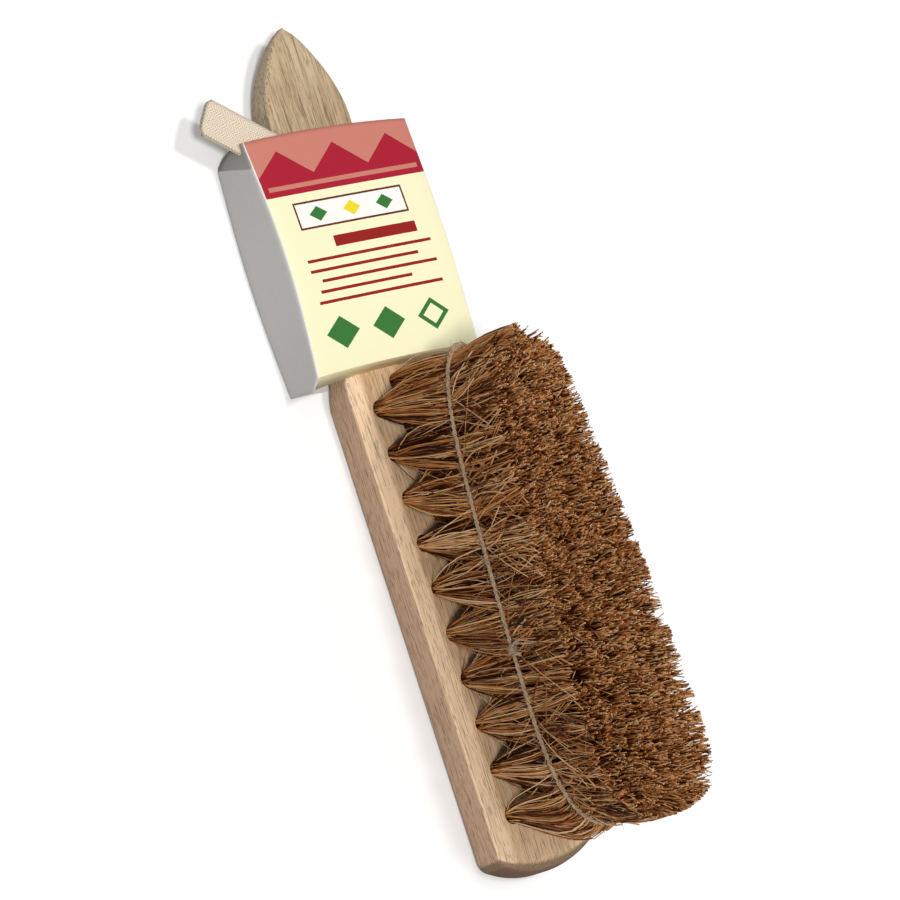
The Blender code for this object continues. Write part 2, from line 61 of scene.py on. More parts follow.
CAMERA_PLACE = Vector((0.0892, -0.9457, 1.1826))
CAMERA_TURN = math.radians(-8.73)
CAMERA_DROP = math.radians(50.25)
CAMERA_ROLL = math.radians(65.22)
CAMERA_FOCAL_PIXELS = 4034.8
PICTURE_PIXELS = 900
SENSOR_WIDTH = 36.0
SKY_COLOUR = "#ffffff"
SKY_STRENGTH = 0.30
NEAR_STRENGTH = 1.62
NEAR_SPREAD = math.radians(9)
NEAR_HEIGHT = math.radians(60)
NEAR_BEARING = math.radians(-68)
TOP_STRENGTH = 0.85
TOP_SPREAD = math.radians(7)
TOP_HEIGHT = math.radians(84)
TOP_BEARING = math.radians(120)
TABLE_SIZE = 8.0
TABLE_COLOUR = "#f7f7f7"
TABLE_BOUNCE = "#b2b2b2"
TABLE_GLOW = 0.12
TABLE_FINISH = {"Roughness": 0.9, "Specular IOR Level": 0.0, "Emission Color": SKY_COLOUR}


def srgb(code):
    """An sRGB hex colour as linear red, green, blue and a full alpha."""
    shares = [int(code[k:k + 2], 16) / 255 for k in (1, 3, 5)]
    return (*[s / 12.92 if s <= 0.04045 else ((s + 0.055) / 1.055) ** 2.4 for s in shares], 1.0)


def feed(node, inputs):
    """Gives a node's sockets their numbers and hex colours, or links from nodes and sockets."""
    for key, source in inputs.items():
        if isinstance(source, bpy.types.Node):
            source = next(socket for socket in source.outputs if socket.enabled)
        if isinstance(source, bpy.types.NodeSocket):
            node.id_data.links.new(source, node.inputs[key])
        else:
            node.inputs[key].default_value = srgb(source) if isinstance(source, str) else source


def add_node(tree, kind, settings=None, inputs=None):
    """A shader node with its settings, its values and its incoming links."""
    node = tree.nodes.new("ShaderNode" + kind)
    for key, value in (settings or {}).items():
        setattr(node, key, value)
    feed(node, inputs or {})
    return node


def new_material(name, inputs):
    """A principled material with some of its values, and its node tree and its shader."""
    mat = bpy.data.materials.new(name)
    mat.use_nodes = True
    shader = mat.node_tree.nodes["Principled BSDF"]
    feed(shader, inputs)
    return mat, mat.node_tree, shader


def maths(tree, operation, *numbers):
    """The outcome of an operation on some numbers, which may be nodes or sockets."""
    return add_node(tree, "Math", {"operation": operation}, dict(enumerate(numbers)))


def mixed(tree, share, first, second):
    """The colour that lies a share of the way from the first to the second."""
    return add_node(tree, "Mix", {"data_type": "RGBA"}, {0: share, 6: first, 7: second})


def mottle(tree, per_metre, detail, raggedness=0.5):
    """Noise through a piece's own space, with so many patches to the metre."""
    return add_node(tree, "TexNoise", inputs={
        "Vector": add_node(tree, "TexCoord").outputs["Object"],
        "Scale": per_metre, "Detail": detail, "Roughness": raggedness})


def add_object(name, data):
    """A new object of the scene that holds the data."""
    made = bpy.data.objects.new(name, data)
    scene.collection.objects.link(made)
    return made


def mesh_of(name, bm):
    """The bmesh as a mesh, after which the bmesh is gone."""
    mesh = bpy.data.meshes.new(name)
    bm.to_mesh(mesh)
    bm.free()
    return mesh


camera_data = bpy.data.cameras.new("camera")
camera_data.sensor_width = SENSOR_WIDTH
camera_data.lens = CAMERA_FOCAL_PIXELS / PICTURE_PIXELS * SENSOR_WIDTH
camera = add_object("camera", camera_data)
camera.matrix_world = (Matrix.Translation(CAMERA_PLACE)
                       @ Matrix.Rotation(-CAMERA_TURN, 4, "Z")
                       @ Matrix.Rotation(math.pi / 2 - CAMERA_DROP, 4, "X")
                       @ Matrix.Rotation(CAMERA_ROLL, 4, "Z"))
scene.camera = camera

sky = bpy.data.worlds.new("studio")
sky.use_nodes = True
sky_rays = add_node(sky.node_tree, "LightPath")
sky_seen = add_node(sky.node_tree, "MapRange", inputs={
    "Value": sky_rays.outputs["Is Camera Ray"], "To Min": SKY_STRENGTH, "To Max": 1.0})
feed(sky.node_tree.nodes["Background"], {"Color": SKY_COLOUR, "Strength": sky_seen})
scene.world = sky


def add_sun(name, strength, spread, height, bearing):
    """A distant light that shines from a height above the table and a bearing from +X."""
    light = bpy.data.lights.new(name, "SUN")
    light.energy = strength
    light.angle = spread
    sun = add_object(name, light)
    way = Vector((math.cos(bearing) * math.cos(height), math.sin(bearing) * math.cos(height),
                  math.sin(height)))
    sun.rotation_mode = "QUATERNION"
    sun.rotation_quaternion = way.to_track_quat("Z", "Y")


add_sun("near_light", NEAR_STRENGTH, NEAR_SPREAD, NEAR_HEIGHT, NEAR_BEARING)
add_sun("top_light", TOP_STRENGTH, TOP_SPREAD, TOP_HEIGHT, TOP_BEARING)

# Matt white paint: an even white with soft shadows and no reflection.  It throws less light
# back on to the brush than its whiteness would, and glows a little so that it stays white.
table_paint, tree, shader = new_material("matt_white_table", TABLE_FINISH)
seen = add_node(tree, "LightPath").outputs["Is Camera Ray"]
paint = mixed(tree, seen, TABLE_BOUNCE, TABLE_COLOUR)
glow = maths(tree, "MULTIPLY", seen, TABLE_GLOW)
feed(shader, {"Base Color": paint, "Emission Strength": glow})
bm = bmesh.new()
bmesh.ops.create_grid(bm, x_segments=1, y_segments=1, size=TABLE_SIZE / 2)
table_top = add_object("table_top", mesh_of("table_top", bm))
table_top.data.materials.append(table_paint)


# The stock
# One piece of pale rubberwood, sawn to shape on a template, its arrises sanded round, left
# bare and drilled with three rows of blind holes.  The handle's back is planed thinner and
# rises to a blunt point; the head's end has a wide bevel.

FACE_Z = 0.015
HEAD_WIDTH = 0.048
TUFTS_PER_ROW = 10
ROWS = 3
TUFT_PITCH = 0.0176
HOLE_DIAMETER = 0.007
HOLE_DEPTH = 0.0095
HOLE_SIDES = 24
END_MARGIN = 0.0236
FIRST_MARGIN = 0.005
END_ARC_RISE = 0.0075
END_CORNER_RADIUS = 0.0055
HANDLE_LENGTH = 0.1455
NECK_WIDTH = 0.0284
GRIP_WIDTH = 0.0384
BACK_ROUNDING = 0.0025
GRIP_ROUNDING = 0.0045
FACE_ARRIS = 0.0012
GRIP_ARRIS = 0.0020
END_BEVEL = 0.0050
END_BEVEL_REACH = 0.010
HANDLE_RELIEF = 0.0016
RELIEF_RAMP = 0.008
NOSE_RISE = 0.0095
NOSE_SHARE = 0.78
INSET_LIMIT_SHARE = 0.55
OVERRUN = 0.002
SHOULDER_SHARES = ((0.0, 0.0), (0.04, 0.04), (0.10, 0.27), (0.17, 0.62), (0.25, 0.90), (0.34, 1.0))
GRIP_SHARES = ((0.42, 0.04), (0.52, 0.22), (0.61, 0.62), (0.68, 0.91), (0.74, 0.99))
TIP_SHARES = ((0.79, 0.965), (0.84, 0.86), (0.885, 0.715), (0.92, 0.56), (0.955, 0.385),
              (0.98, 0.21), (1.0, 0.0))
OUTLINE_STEPS = 6
ARC_STEPS = 14
ROUNDING_STEPS = 6
ARRIS_STEPS = 4
SMOOTH_ANGLE = math.radians(38)

FIELD_HALF = (TUFTS_PER_ROW - 1) / 2 * TUFT_PITCH
HEAD_END = FIELD_HALF + END_MARGIN
SHOULDER = -FIELD_HALF - FIRST_MARGIN
HANDLE_TIP = SHOULDER - HANDLE_LENGTH
NOSE_START = SHOULDER - HANDLE_LENGTH * NOSE_SHARE

WOOD_STREAK_LENGTH = 0.075
WOOD_STREAK_WIDTH = 0.0018
WOOD_STREAK_DETAIL = 5.0
PORE_LENGTH = 0.026
PORE_WIDTH = 0.00050
PORE_DETAIL = 1.0
PORE_LEVELS = (0.58, 0.65)
PORE_SHARES = (0.65, 0.42)
PORE_COLOUR = "#654a33"
FLECK_LENGTH = 0.0040
FLECK_WIDTH = 0.00036
FLECK_DETAIL = 0.0
FLECK_LEVELS = (0.62, 0.68)
FLECK_SHARE = 0.45
GRAIN_RAGGEDNESS = 0.6
GRAIN_SWAY = 0.3
WOOD_CLOUD_SIZE = 0.030
WOOD_CLOUD_DETAIL = 2.0
WOOD_TONE_LEVELS = (0.72, 1.28)
HEAD_WOOD = ("#c69f77", "#e3c19a")
HANDLE_WOOD = ("#b59b7a", "#d3bc98")
# A strip of painted light along the head's near edge.
PAINTED_LIGHT_EDGE_WOOD = "#ffdeb8"
PAINTED_LIGHT_EDGE_WIDTH = 0.0090
PAINTED_LIGHT_EDGE_FADE = 0.0026
PAINTED_LIGHT_EDGE_SHARE = 0.9
# Tints by which way a face turns: on the sides partly their redder sawn colour, partly painted
# light; on the bevel and the end partly their darker end grain, partly painted shade.
SIDE_WOOD_AND_PAINTED_LIGHT_TINT = "#cda487"
HANDLE_SIDE_AND_PAINTED_LIGHT_TINT = "#ccb79e"
SIDE_AND_PAINTED_LIGHT_FACING = (0.80, 0.30)
SIDE_AND_PAINTED_LIGHT_SHARE = 0.75
BEVEL_GRAIN_AND_PAINTED_SHADE_TINT = "#7c6750"
BEVEL_GRAIN_AND_PAINTED_SHADE_FACING = (0.15, 0.45)
BEVEL_GRAIN_AND_PAINTED_SHADE_SHARE = 0.85
END_GRAIN_AND_PAINTED_SHADE_TINT = "#7c5f50"
END_GRAIN_AND_PAINTED_SHADE_FACING = (0.72, 0.92)
END_GRAIN_AND_PAINTED_SHADE_SHARE = 0.9
WOOD_ROUGHNESSES = (0.55, 0.75)
WOOD_FINISH = {"Specular IOR Level": 0.25}
WOOD_BUMP_STRENGTH = 0.5
WOOD_BUMP_DEPTH = 0.00012


def lerp(a, b, share):
    """The value a share of the way from a to b."""
    return a + (b - a) * share


def smooth_through(points, steps):
    """A Catmull-Rom curve through the points, with some steps between each two."""
    line = []
    last = len(points) - 1
    for k in range(last):
        p0, p1, p2, p3 = (points[min(max(k + j, 0), last)] for j in (-1, 0, 1, 2))
        for step in range(steps):
            t = step / steps
            blend = ((-t + 2 * t * t - t ** 3) / 2, (2 - 5 * t * t + 3 * t ** 3) / 2,
                     (t + 4 * t * t - 3 * t ** 3) / 2, (t ** 3 - t * t) / 2)
            line.append(sum((w * p for w, p in zip(blend, (p0, p1, p2, p3))), Vector((0, 0, 0))))
    line.append(points[last])
    return line


def finish_piece(name, bm, materials, body, nodes=(), smooth=SMOOTH_ANGLE):
    """The bmesh as a finished piece that rides on a body and stands for some CAD nodes."""
    mesh = mesh_of(name, bm)
    for mat in materials:
        mesh.materials.append(mat)
    if smooth is not None:
        mesh.shade_smooth()
        mesh.set_sharp_from_angle(angle=smooth)
    piece = add_object(name, mesh)
    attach(piece, body)
    if nodes:
        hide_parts(*nodes)
    return piece


def evaluated_mesh(source):
    """A mesh of an object as its modifiers or its section make it."""
    bpy.context.view_layer.update()
    graph = bpy.context.evaluated_depsgraph_get()
    return bpy.data.meshes.new_from_object(source.evaluated_get(graph))


def stock_outline():
    """One side of the template: the end arc, its corner, the shoulder, the grip and the tip."""
    half, neck, grip = HEAD_WIDTH / 2, NECK_WIDTH / 2, GRIP_WIDTH / 2
    arc_radius = (half ** 2 + END_ARC_RISE ** 2) / (2 * END_ARC_RISE)
    centre = HEAD_END - arc_radius
    reach = arc_radius - END_CORNER_RADIUS
    turn = math.asin((half - END_CORNER_RADIUS) / reach)
    corner = Vector((centre + reach * math.cos(turn), half - END_CORNER_RADIUS, 0))
    side = []
    for k in range(ARC_STEPS + 1):
        angle = turn * k / ARC_STEPS
        side.append(Vector((centre + arc_radius * math.cos(angle),
                            arc_radius * math.sin(angle), 0)))
    for k in range(1, ARC_STEPS + 1):
        angle = lerp(turn, math.pi / 2, k / ARC_STEPS)
        side.append(corner + Vector((math.cos(angle), math.sin(angle), 0)) * END_CORNER_RADIUS)
    template = [(along, lerp(half, neck, share)) for along, share in SHOULDER_SHARES]
    template += [(along, lerp(neck, grip, share)) for along, share in GRIP_SHARES]
    template += [(along, grip * share) for along, share in TIP_SHARES]
    points = [Vector((SHOULDER - along * HANDLE_LENGTH, width, 0)) for along, width in template]
    return side + smooth_through(points, OUTLINE_STEPS)


def share_of_way(start, end, x):
    """0 up to the start, 1 past the end, and the share of the way between them."""
    return min(1.0, max(0.0, (x - start) / (end - start)))


def edge_profile(x):
    """Inset and height pairs up the edge of the stock: round at the back, eased at the face."""
    handle = share_of_way(SHOULDER, SHOULDER - RELIEF_RAMP, x)
    head_end = share_of_way(HEAD_END - END_BEVEL_REACH, HEAD_END, x)
    rounding = lerp(BACK_ROUNDING, GRIP_ROUNDING, handle)
    arris = lerp(lerp(FACE_ARRIS, GRIP_ARRIS, handle), END_BEVEL, head_end)
    bottom = HANDLE_RELIEF * handle + NOSE_RISE * share_of_way(NOSE_START, HANDLE_TIP, x) ** 2
    rings = []
    for k in range(ROUNDING_STEPS + 1):
        angle = math.pi / 2 * k / ROUNDING_STEPS
        rings.append((rounding * (1 - math.sin(angle)), rounding * (1 - math.cos(angle))))
    for k in range(ARRIS_STEPS + 1):
        angle = math.pi / 2 * k / ARRIS_STEPS
        rings.append((arris * (1 - math.cos(angle)), FACE_Z - arris * (1 - math.sin(angle))))
    return [(inset, lerp(bottom, FACE_Z, height / FACE_Z)) for inset, height in rings]


def close_ring(bm, loop, edges):
    """A cap made of strips straight across the stock, so it follows the rise of the back."""
    bmesh.ops.contextual_create(bm, geom=edges)
    for k in range(1, len(loop) // 2):
        bmesh.ops.connect_verts(bm, verts=[loop[k], loop[-k]])


side = stock_outline()
outline = side + [Vector((p.x, -p.y, 0)) for p in reversed(side[1:-1])]
total = len(outline)
inward = []
for k in range(total):
    along = (outline[(k + 1) % total] - outline[k - 1]).normalized()
    inward.append(Vector((-along.y, along.x, 0)))
profiles = [edge_profile(point.x) for point in outline]
bm = bmesh.new()
loop = [bm.verts.new(point) for point in outline]
edges = [bm.edges.new((loop[k], loop[(k + 1) % total])) for k in range(total)]
for step in range(len(profiles[0])):
    if step:
        made = bmesh.ops.extrude_edge_only(bm, edges=edges)
        edges = [e for e in made["geom"] if isinstance(e, bmesh.types.BMEdge)]
        fresh = [v for v in made["geom"] if isinstance(v, bmesh.types.BMVert)]
        places = {tuple(round(c, 7) for c in v.co): v for v in fresh}
        loop = [places[tuple(round(c, 7) for c in old.co)] for old in loop]
    for k, vert in enumerate(loop):
        inset, height = profiles[k][step]
        limit = max(abs(outline[k].y), outline[k].x) * INSET_LIMIT_SHARE
        vert.co = outline[k] + inward[k] * min(inset, limit) + Vector((0, 0, height))
    if step == 0:
        close_ring(bm, loop, edges)
close_ring(bm, loop, edges)
bmesh.ops.recalc_face_normals(bm, faces=bm.faces)

# The look of rubberwood: a close straw-coloured wood with broad soft streaks, long dark pore
# lines and short flecks along the grain.  The sawn sides are tinted redder, partly their sawn
# colour and partly painted light that sets how bright they show; the bevel and the end are
# darker, partly their end grain and partly painted shade.  A strip of painted light makes the
# head's near edge paler, and the handle is greyer than the head.
rubberwood, tree, shader = new_material("bare_sanded_rubberwood", WOOD_FINISH)
wood_place = add_node(tree, "TexCoord")


def along_the_grain(tree, place, length, width, detail):
    """Noise drawn out along the stock: the length and the width of its patches."""
    drawn_out = add_node(tree, "Mapping", inputs={
        "Vector": place, "Scale": (1 / length, 1 / width, 1 / width)})
    return add_node(tree, "TexNoise", inputs={
        "Vector": drawn_out, "Scale": 1.0, "Detail": detail,
        "Roughness": GRAIN_RAGGEDNESS, "Distortion": GRAIN_SWAY})


def lay_over(tree, below, colour, share, strength=1.0):
    """A colour over what is below it: its share of the mix, times a strength."""
    return mixed(tree, maths(tree, "MULTIPLY", share, strength), below, colour)


place = wood_place.outputs["Object"]
spot = add_node(tree, "SeparateXYZ", inputs={"Vector": place})
facing = add_node(tree, "SeparateXYZ", inputs={"Vector": wood_place.outputs["Normal"]})
streaks = along_the_grain(tree, place, WOOD_STREAK_LENGTH, WOOD_STREAK_WIDTH, WOOD_STREAK_DETAIL)
pore_lines = along_the_grain(tree, place, PORE_LENGTH, PORE_WIDTH, PORE_DETAIL)
fleck_lines = along_the_grain(tree, place, FLECK_LENGTH, FLECK_WIDTH, FLECK_DETAIL)
clouds = mottle(tree, 1 / WOOD_CLOUD_SIZE, WOOD_CLOUD_DETAIL)
tone = maths(tree, "ADD", streaks, clouds)
painted_light_edge_start = PAINTED_LIGHT_EDGE_WIDTH - HEAD_WIDTH / 2
shoulder_fade = (SHOULDER - HANDLE_LENGTH / 2, SHOULDER)
full = (0.0, 1.0)

# The soft steps of the finish: what each reads, where it starts and ends, and its two levels.
soft_steps = {
    "pores": (pore_lines, PORE_LEVELS, full),
    "flecks": (fleck_lines, FLECK_LEVELS, full),
    "tone": (tone, WOOD_TONE_LEVELS, full),
    "head": (spot.outputs["X"], shoulder_fade, full),
    "pore_share": (spot.outputs["X"], shoulder_fade, PORE_SHARES),
    # Masks of painted light and shade: the near edge's strip, and the sides, the bevel and the end
    # by which way they face.
    "near_edge": (spot.outputs["Y"], (painted_light_edge_start, painted_light_edge_start - PAINTED_LIGHT_EDGE_FADE), full),
    "side": (facing.outputs["Z"], SIDE_AND_PAINTED_LIGHT_FACING, full),
    "bevel": (facing.outputs["X"], BEVEL_GRAIN_AND_PAINTED_SHADE_FACING, full),
    "end": (facing.outputs["X"], END_GRAIN_AND_PAINTED_SHADE_FACING, full),
    "roughness": (streaks, full, WOOD_ROUGHNESSES),
}
wood = {}
for name, (source, (start, end), (low, high)) in soft_steps.items():
    wood[name] = add_node(tree, "MapRange", {"interpolation_type": "SMOOTHSTEP"}, {
        "Value": source, "From Min": start, "From Max": end, "To Min": low, "To Max": high})
sawn = [mixed(tree, wood["tone"], dark, light)
        for dark, light in (HANDLE_WOOD, HEAD_WOOD)]
side_and_painted_light_tint = mixed(tree, wood["head"], HANDLE_SIDE_AND_PAINTED_LIGHT_TINT, SIDE_WOOD_AND_PAINTED_LIGHT_TINT)
# Painted light on the head's near edge.
near_edge = maths(tree, "MULTIPLY", wood["near_edge"], wood["head"])
wood_colour = lay_over(tree, sawn[0], sawn[1], wood["head"])
# Over the wood go painted light on the near edge and the sides, then painted shade with end grain
# on the bevel and the end, then the pores and flecks.
for colour, share, strength in (
        (PAINTED_LIGHT_EDGE_WOOD, near_edge, PAINTED_LIGHT_EDGE_SHARE),
        (side_and_painted_light_tint, wood["side"], SIDE_AND_PAINTED_LIGHT_SHARE),
        (BEVEL_GRAIN_AND_PAINTED_SHADE_TINT, wood["bevel"], BEVEL_GRAIN_AND_PAINTED_SHADE_SHARE),
        (END_GRAIN_AND_PAINTED_SHADE_TINT, wood["end"], END_GRAIN_AND_PAINTED_SHADE_SHARE),
        (PORE_COLOUR, wood["pores"], wood["pore_share"]),
        (PORE_COLOUR, wood["flecks"], FLECK_SHARE)):
    wood_colour = lay_over(tree, wood_colour, colour, share, strength)
relief = maths(tree, "SUBTRACT", streaks, wood["pores"])
wood_bump = add_node(tree, "Bump", inputs={
    "Height": relief, "Strength": WOOD_BUMP_STRENGTH, "Distance": WOOD_BUMP_DEPTH})
feed(shader, {"Base Color": wood_colour, "Roughness": wood["roughness"], "Normal": wood_bump})

stock = finish_piece("wooden_stock", bm, [rubberwood], "stock_body", ["stock"])

tuft_roots = {}
for name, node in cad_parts.items():
    if name.startswith("tuft_row"):
        butts = [vert.co for vert in node.data.vertices if vert.co.z < FACE_Z - HOLE_DEPTH / 2]
        tuft_roots[name] = sum(butts, Vector((0, 0, 0))) / len(butts)
bm = bmesh.new()
for root in tuft_roots.values():
    made = bmesh.ops.create_cone(bm, cap_ends=True, segments=HOLE_SIDES, radius1=HOLE_DIAMETER / 2,
                                 radius2=HOLE_DIAMETER / 2, depth=HOLE_DEPTH + OVERRUN)
    middle = FACE_Z + (OVERRUN - HOLE_DEPTH) / 2
    bmesh.ops.translate(bm, verts=made["verts"], vec=Vector((root.x, root.y, middle)))
drill = add_object("drill", mesh_of("drill", bm))
drilling = stock.modifiers.new("drilling", "BOOLEAN")
drilling.solver = "EXACT"
drilling.object = drill
drilled = evaluated_mesh(stock)
stock.modifiers.clear()
stock.data = drilled
bpy.data.objects.remove(drill)


# The coir tufts
# Thirty bundles of stiff brown coconut-husk fibre, each folded in half and stapled into its
# hole.  The fibres fan out, are drawn in where the twine ties them, spread and cross again
# above it and are trimmed level, with stray pale hairs and a few short broken ends.

BRISTLE_LENGTH = 0.072
TWINE_HEIGHT = 0.040
TWINE_DIAMETER = 0.0015
TWINE_HALF_WIDTH = 0.0214
TWINE_HALF_LENGTH = 0.0914
TWINE_LEAN = 0.0062
TIP_HALF_WIDTH = 0.0268
TIP_HALF_LENGTH = 0.0930
TIP_LEAN = 0.0085
TIP_SIDE_LEAN = 0.0025
TWINE_TAPER_SHARE = 0.45
TWINE_SQUARENESS = 6
TIP_TAPER_SHARE = 0.42
TIP_SQUARENESS = 14
BUNDLE_LENGTH_SHARE = 0.985
FIBRES_PER_TUFT = 520
CLUMPS_PER_TUFT = 40
CLUMP_SPREAD_SHARE = 0.06
FIBRE_RADII = (0.00019, 0.00036)
SECTION_CORNERS = 3
FIBRE_SEED = 7
ROOT_DEPTH = 0.003
ROOT_RADIUS = 0.0033
ROOT_EASE_SHARE = 0.7
FAN_POWER = 1.08
END_BELLY = 0.0050
END_BELLY_POWER = 6
WAIST_SCATTER = 0.0014
FIBRE_WAIST_SCATTER = WAIST_SCATTER / 3
TIP_SCATTER = 0.0010
CLUMP_TIP_SCATTER = 0.0013
CROSSING_SHARE = 0.18
CROSSING_SCATTER = 0.010
LOW_CROSSING_SCATTER = 0.0026
WILD_SHARE = 0.022
WILD_SCATTER = 0.010
WILD_SIZE_SHARE = 0.6
LOW_CURL = 0.0012
HIGH_CURL = 0.0010
WILD_CURL = 0.0022
TRIM_SCATTER = 0.0004
TRIM_LIMIT = 4 * TRIM_SCATTER
CLUMP_TRIM_SCATTER = 0.0005
SHORT_SHARE = 0.05
SHORT_CUT = 0.016
SIDE_SHORT_SHARE = 0.38
SIDE_START_SHARE = 0.80
SIDE_FLARE = 0.0022
LOW_STEPS = (0.0, 0.2, 0.4, 0.6, 0.75, 0.87, 0.95, 1.0)
HIGH_STEPS = (0.25, 0.5, 0.75, 0.92, 1.0)
TONE_MEAN = 0.52
TONE_SPREAD = 0.26
DARKEST_TONE = 0.02
PALEST_TONE = 0.84
# Painted shade, as tone taken off the fibres: at the root, at the cut end and its cap, and inside
# the bundle.  The stray hairs' lift is their own paler tone.
ROOT_PAINTED_SHADE = -0.22
WILD_SHADE = 0.12
CUT_END_PAINTED_SHADE = -0.02
CAP_PAINTED_SHADE = -0.24
INNER_PAINTED_SHADE = -0.40
TIP_INNER_PAINTED_SHADE = INNER_PAINTED_SHADE / 3
INNER_SHADE_START = 0.05
INNER_SHADE_FADE = 0.15
COIR_COLOURS = ((0.0, "#260a02"), (0.22, "#6f3110"), (0.48, "#d08a4a"), (0.74, "#f6c48a"),
                (1.0, "#ffe2b8"))
COIR_BLOTCHES_PER_METRE = 260.0
COIR_BLOTCH_DETAIL = 2.0
COIR_BLOTCH_TONE = 0.16
COIR_FINISH = {"Roughness": 0.55, "Specular IOR Level": 0.15}

LATTICE_HALF = (TUFTS_PER_ROW + 1 / 2) / 2 * TUFT_PITCH
LATTICE_CENTRE = -TUFT_PITCH / 4
TWINE_Z = FACE_Z + TWINE_HEIGHT
TWINE_CENTRE = LATTICE_CENTRE + TWINE_LEAN
TIP_Z = FACE_Z + BRISTLE_LENGTH

# Coir is a dull brown husk fibre with a faint waxy gloss.  Every fibre has its own tone, from
# dark brown to straw, which its vertices carry.  Painted shade darkens its root, its cut end
# and the cap on it, and the fibres inside the bundle.
coir, tree, shader = new_material("coir_fibre", COIR_FINISH)
blotches = mottle(tree, COIR_BLOTCHES_PER_METRE, COIR_BLOTCH_DETAIL)
blotch_tone = add_node(tree, "MapRange", inputs={
    "Value": blotches, "To Min": -COIR_BLOTCH_TONE, "To Max": COIR_BLOTCH_TONE})
carried_tone = add_node(tree, "Attribute", {"attribute_name": "tone"}).outputs["Fac"]
fibre_tone = maths(tree, "ADD", carried_tone, blotch_tone)
coir_ramp = add_node(tree, "ValToRGB", inputs={"Fac": fibre_tone})
while len(coir_ramp.color_ramp.elements) < len(COIR_COLOURS):
    coir_ramp.color_ramp.elements.new(0.5)
for element, (position, colour) in zip(coir_ramp.color_ramp.elements, COIR_COLOURS):
    element.position = position
    element.color = srgb(colour)
feed(shader, {"Base Color": coir_ramp})

section_curve = bpy.data.curves.new("fibre_section", "CURVE")
section_curve.dimensions = "2D"
section = section_curve.splines.new("POLY")
section.points.add(SECTION_CORNERS - 1)
for k, corner in enumerate(section.points):
    angle = 2 * math.pi * k / SECTION_CORNERS
    corner.co = (math.cos(angle), math.sin(angle), 0, 1)
section.use_cyclic_u = True
fibre_section = add_object("fibre_section", section_curve)
fibre_section.hide_render = True


def add_line(curve, points, radii, closed=False):
    """One line of a curve through the points, with a radius for its section at each."""
    spline = curve.splines.new("POLY")
    spline.points.add(len(points) - 1)
    spline.points.foreach_set("co", np.column_stack((points, np.ones(len(points)))).ravel())
    spline.points.foreach_set("radius", radii)
    spline.use_cyclic_u = closed


def swept_mesh(curve):
    """The mesh that a curve's section makes along its lines."""
    holder = add_object(curve.name, curve)
    mesh = evaluated_mesh(holder)
    bpy.data.objects.remove(holder)
    bpy.data.curves.remove(curve)
    return mesh


def fibres_mesh(name, lines, radii, tones):
    """Three-sided fibres along the lines, as one mesh whose vertices carry a tone.

    The mesh lists the end caps first, from the last fibre's to the first's.
    """
    curve = bpy.data.curves.new(name, "CURVE")
    curve.dimensions = "3D"
    curve.bevel_mode = "OBJECT"
    curve.bevel_object = fibre_section
    curve.use_fill_caps = True
    for line, radius in zip(lines, radii):
        add_line(curve, line, radius)
    mesh = swept_mesh(curve)
    share = mesh.attributes.new("tone", "FLOAT", "POINT")
    # The end caps get painted shade: their tone is lowered.
    caps = np.column_stack((tones[::-1, -1], tones[::-1, 0])) + CAP_PAINTED_SHADE
    every = np.repeat(np.concatenate((caps.ravel(), tones.ravel())), SECTION_CORNERS)
    share.data.foreach_set("value", every.astype(np.float32))
    mesh.shade_smooth()
    return mesh


def plan_half_width(along, widest, taper, squareness):
    """Half width of the bundle's plan; along runs from -1 at the handle end to 1."""
    end = np.sqrt(np.clip(1 - np.abs(along) ** squareness, 0, None))
    return widest * end * (1 - taper * ((1 - along) / 2) ** 2)


def field_shares(row, root_x, unit):
    """The fibres' places in the whole field: -1 to 1 along it and across it."""
    x = root_x + unit[:, 0] * TUFT_PITCH / 2
    along = np.clip((x - LATTICE_CENTRE) / LATTICE_HALF, -1, 1)
    last_row = (ROWS - 1) / 2
    return along, (row - last_row + unit[:, 1] / 2) / (last_row + 1 / 2)


def fold_back(share):
    """Shares of a field that fall outside -1 to 1, mirrored back into it."""
    share = np.where(share > 1, 2 - share, share)
    share = np.where(share < -1, -2 - share, share)
    return np.clip(share, -1, 1)


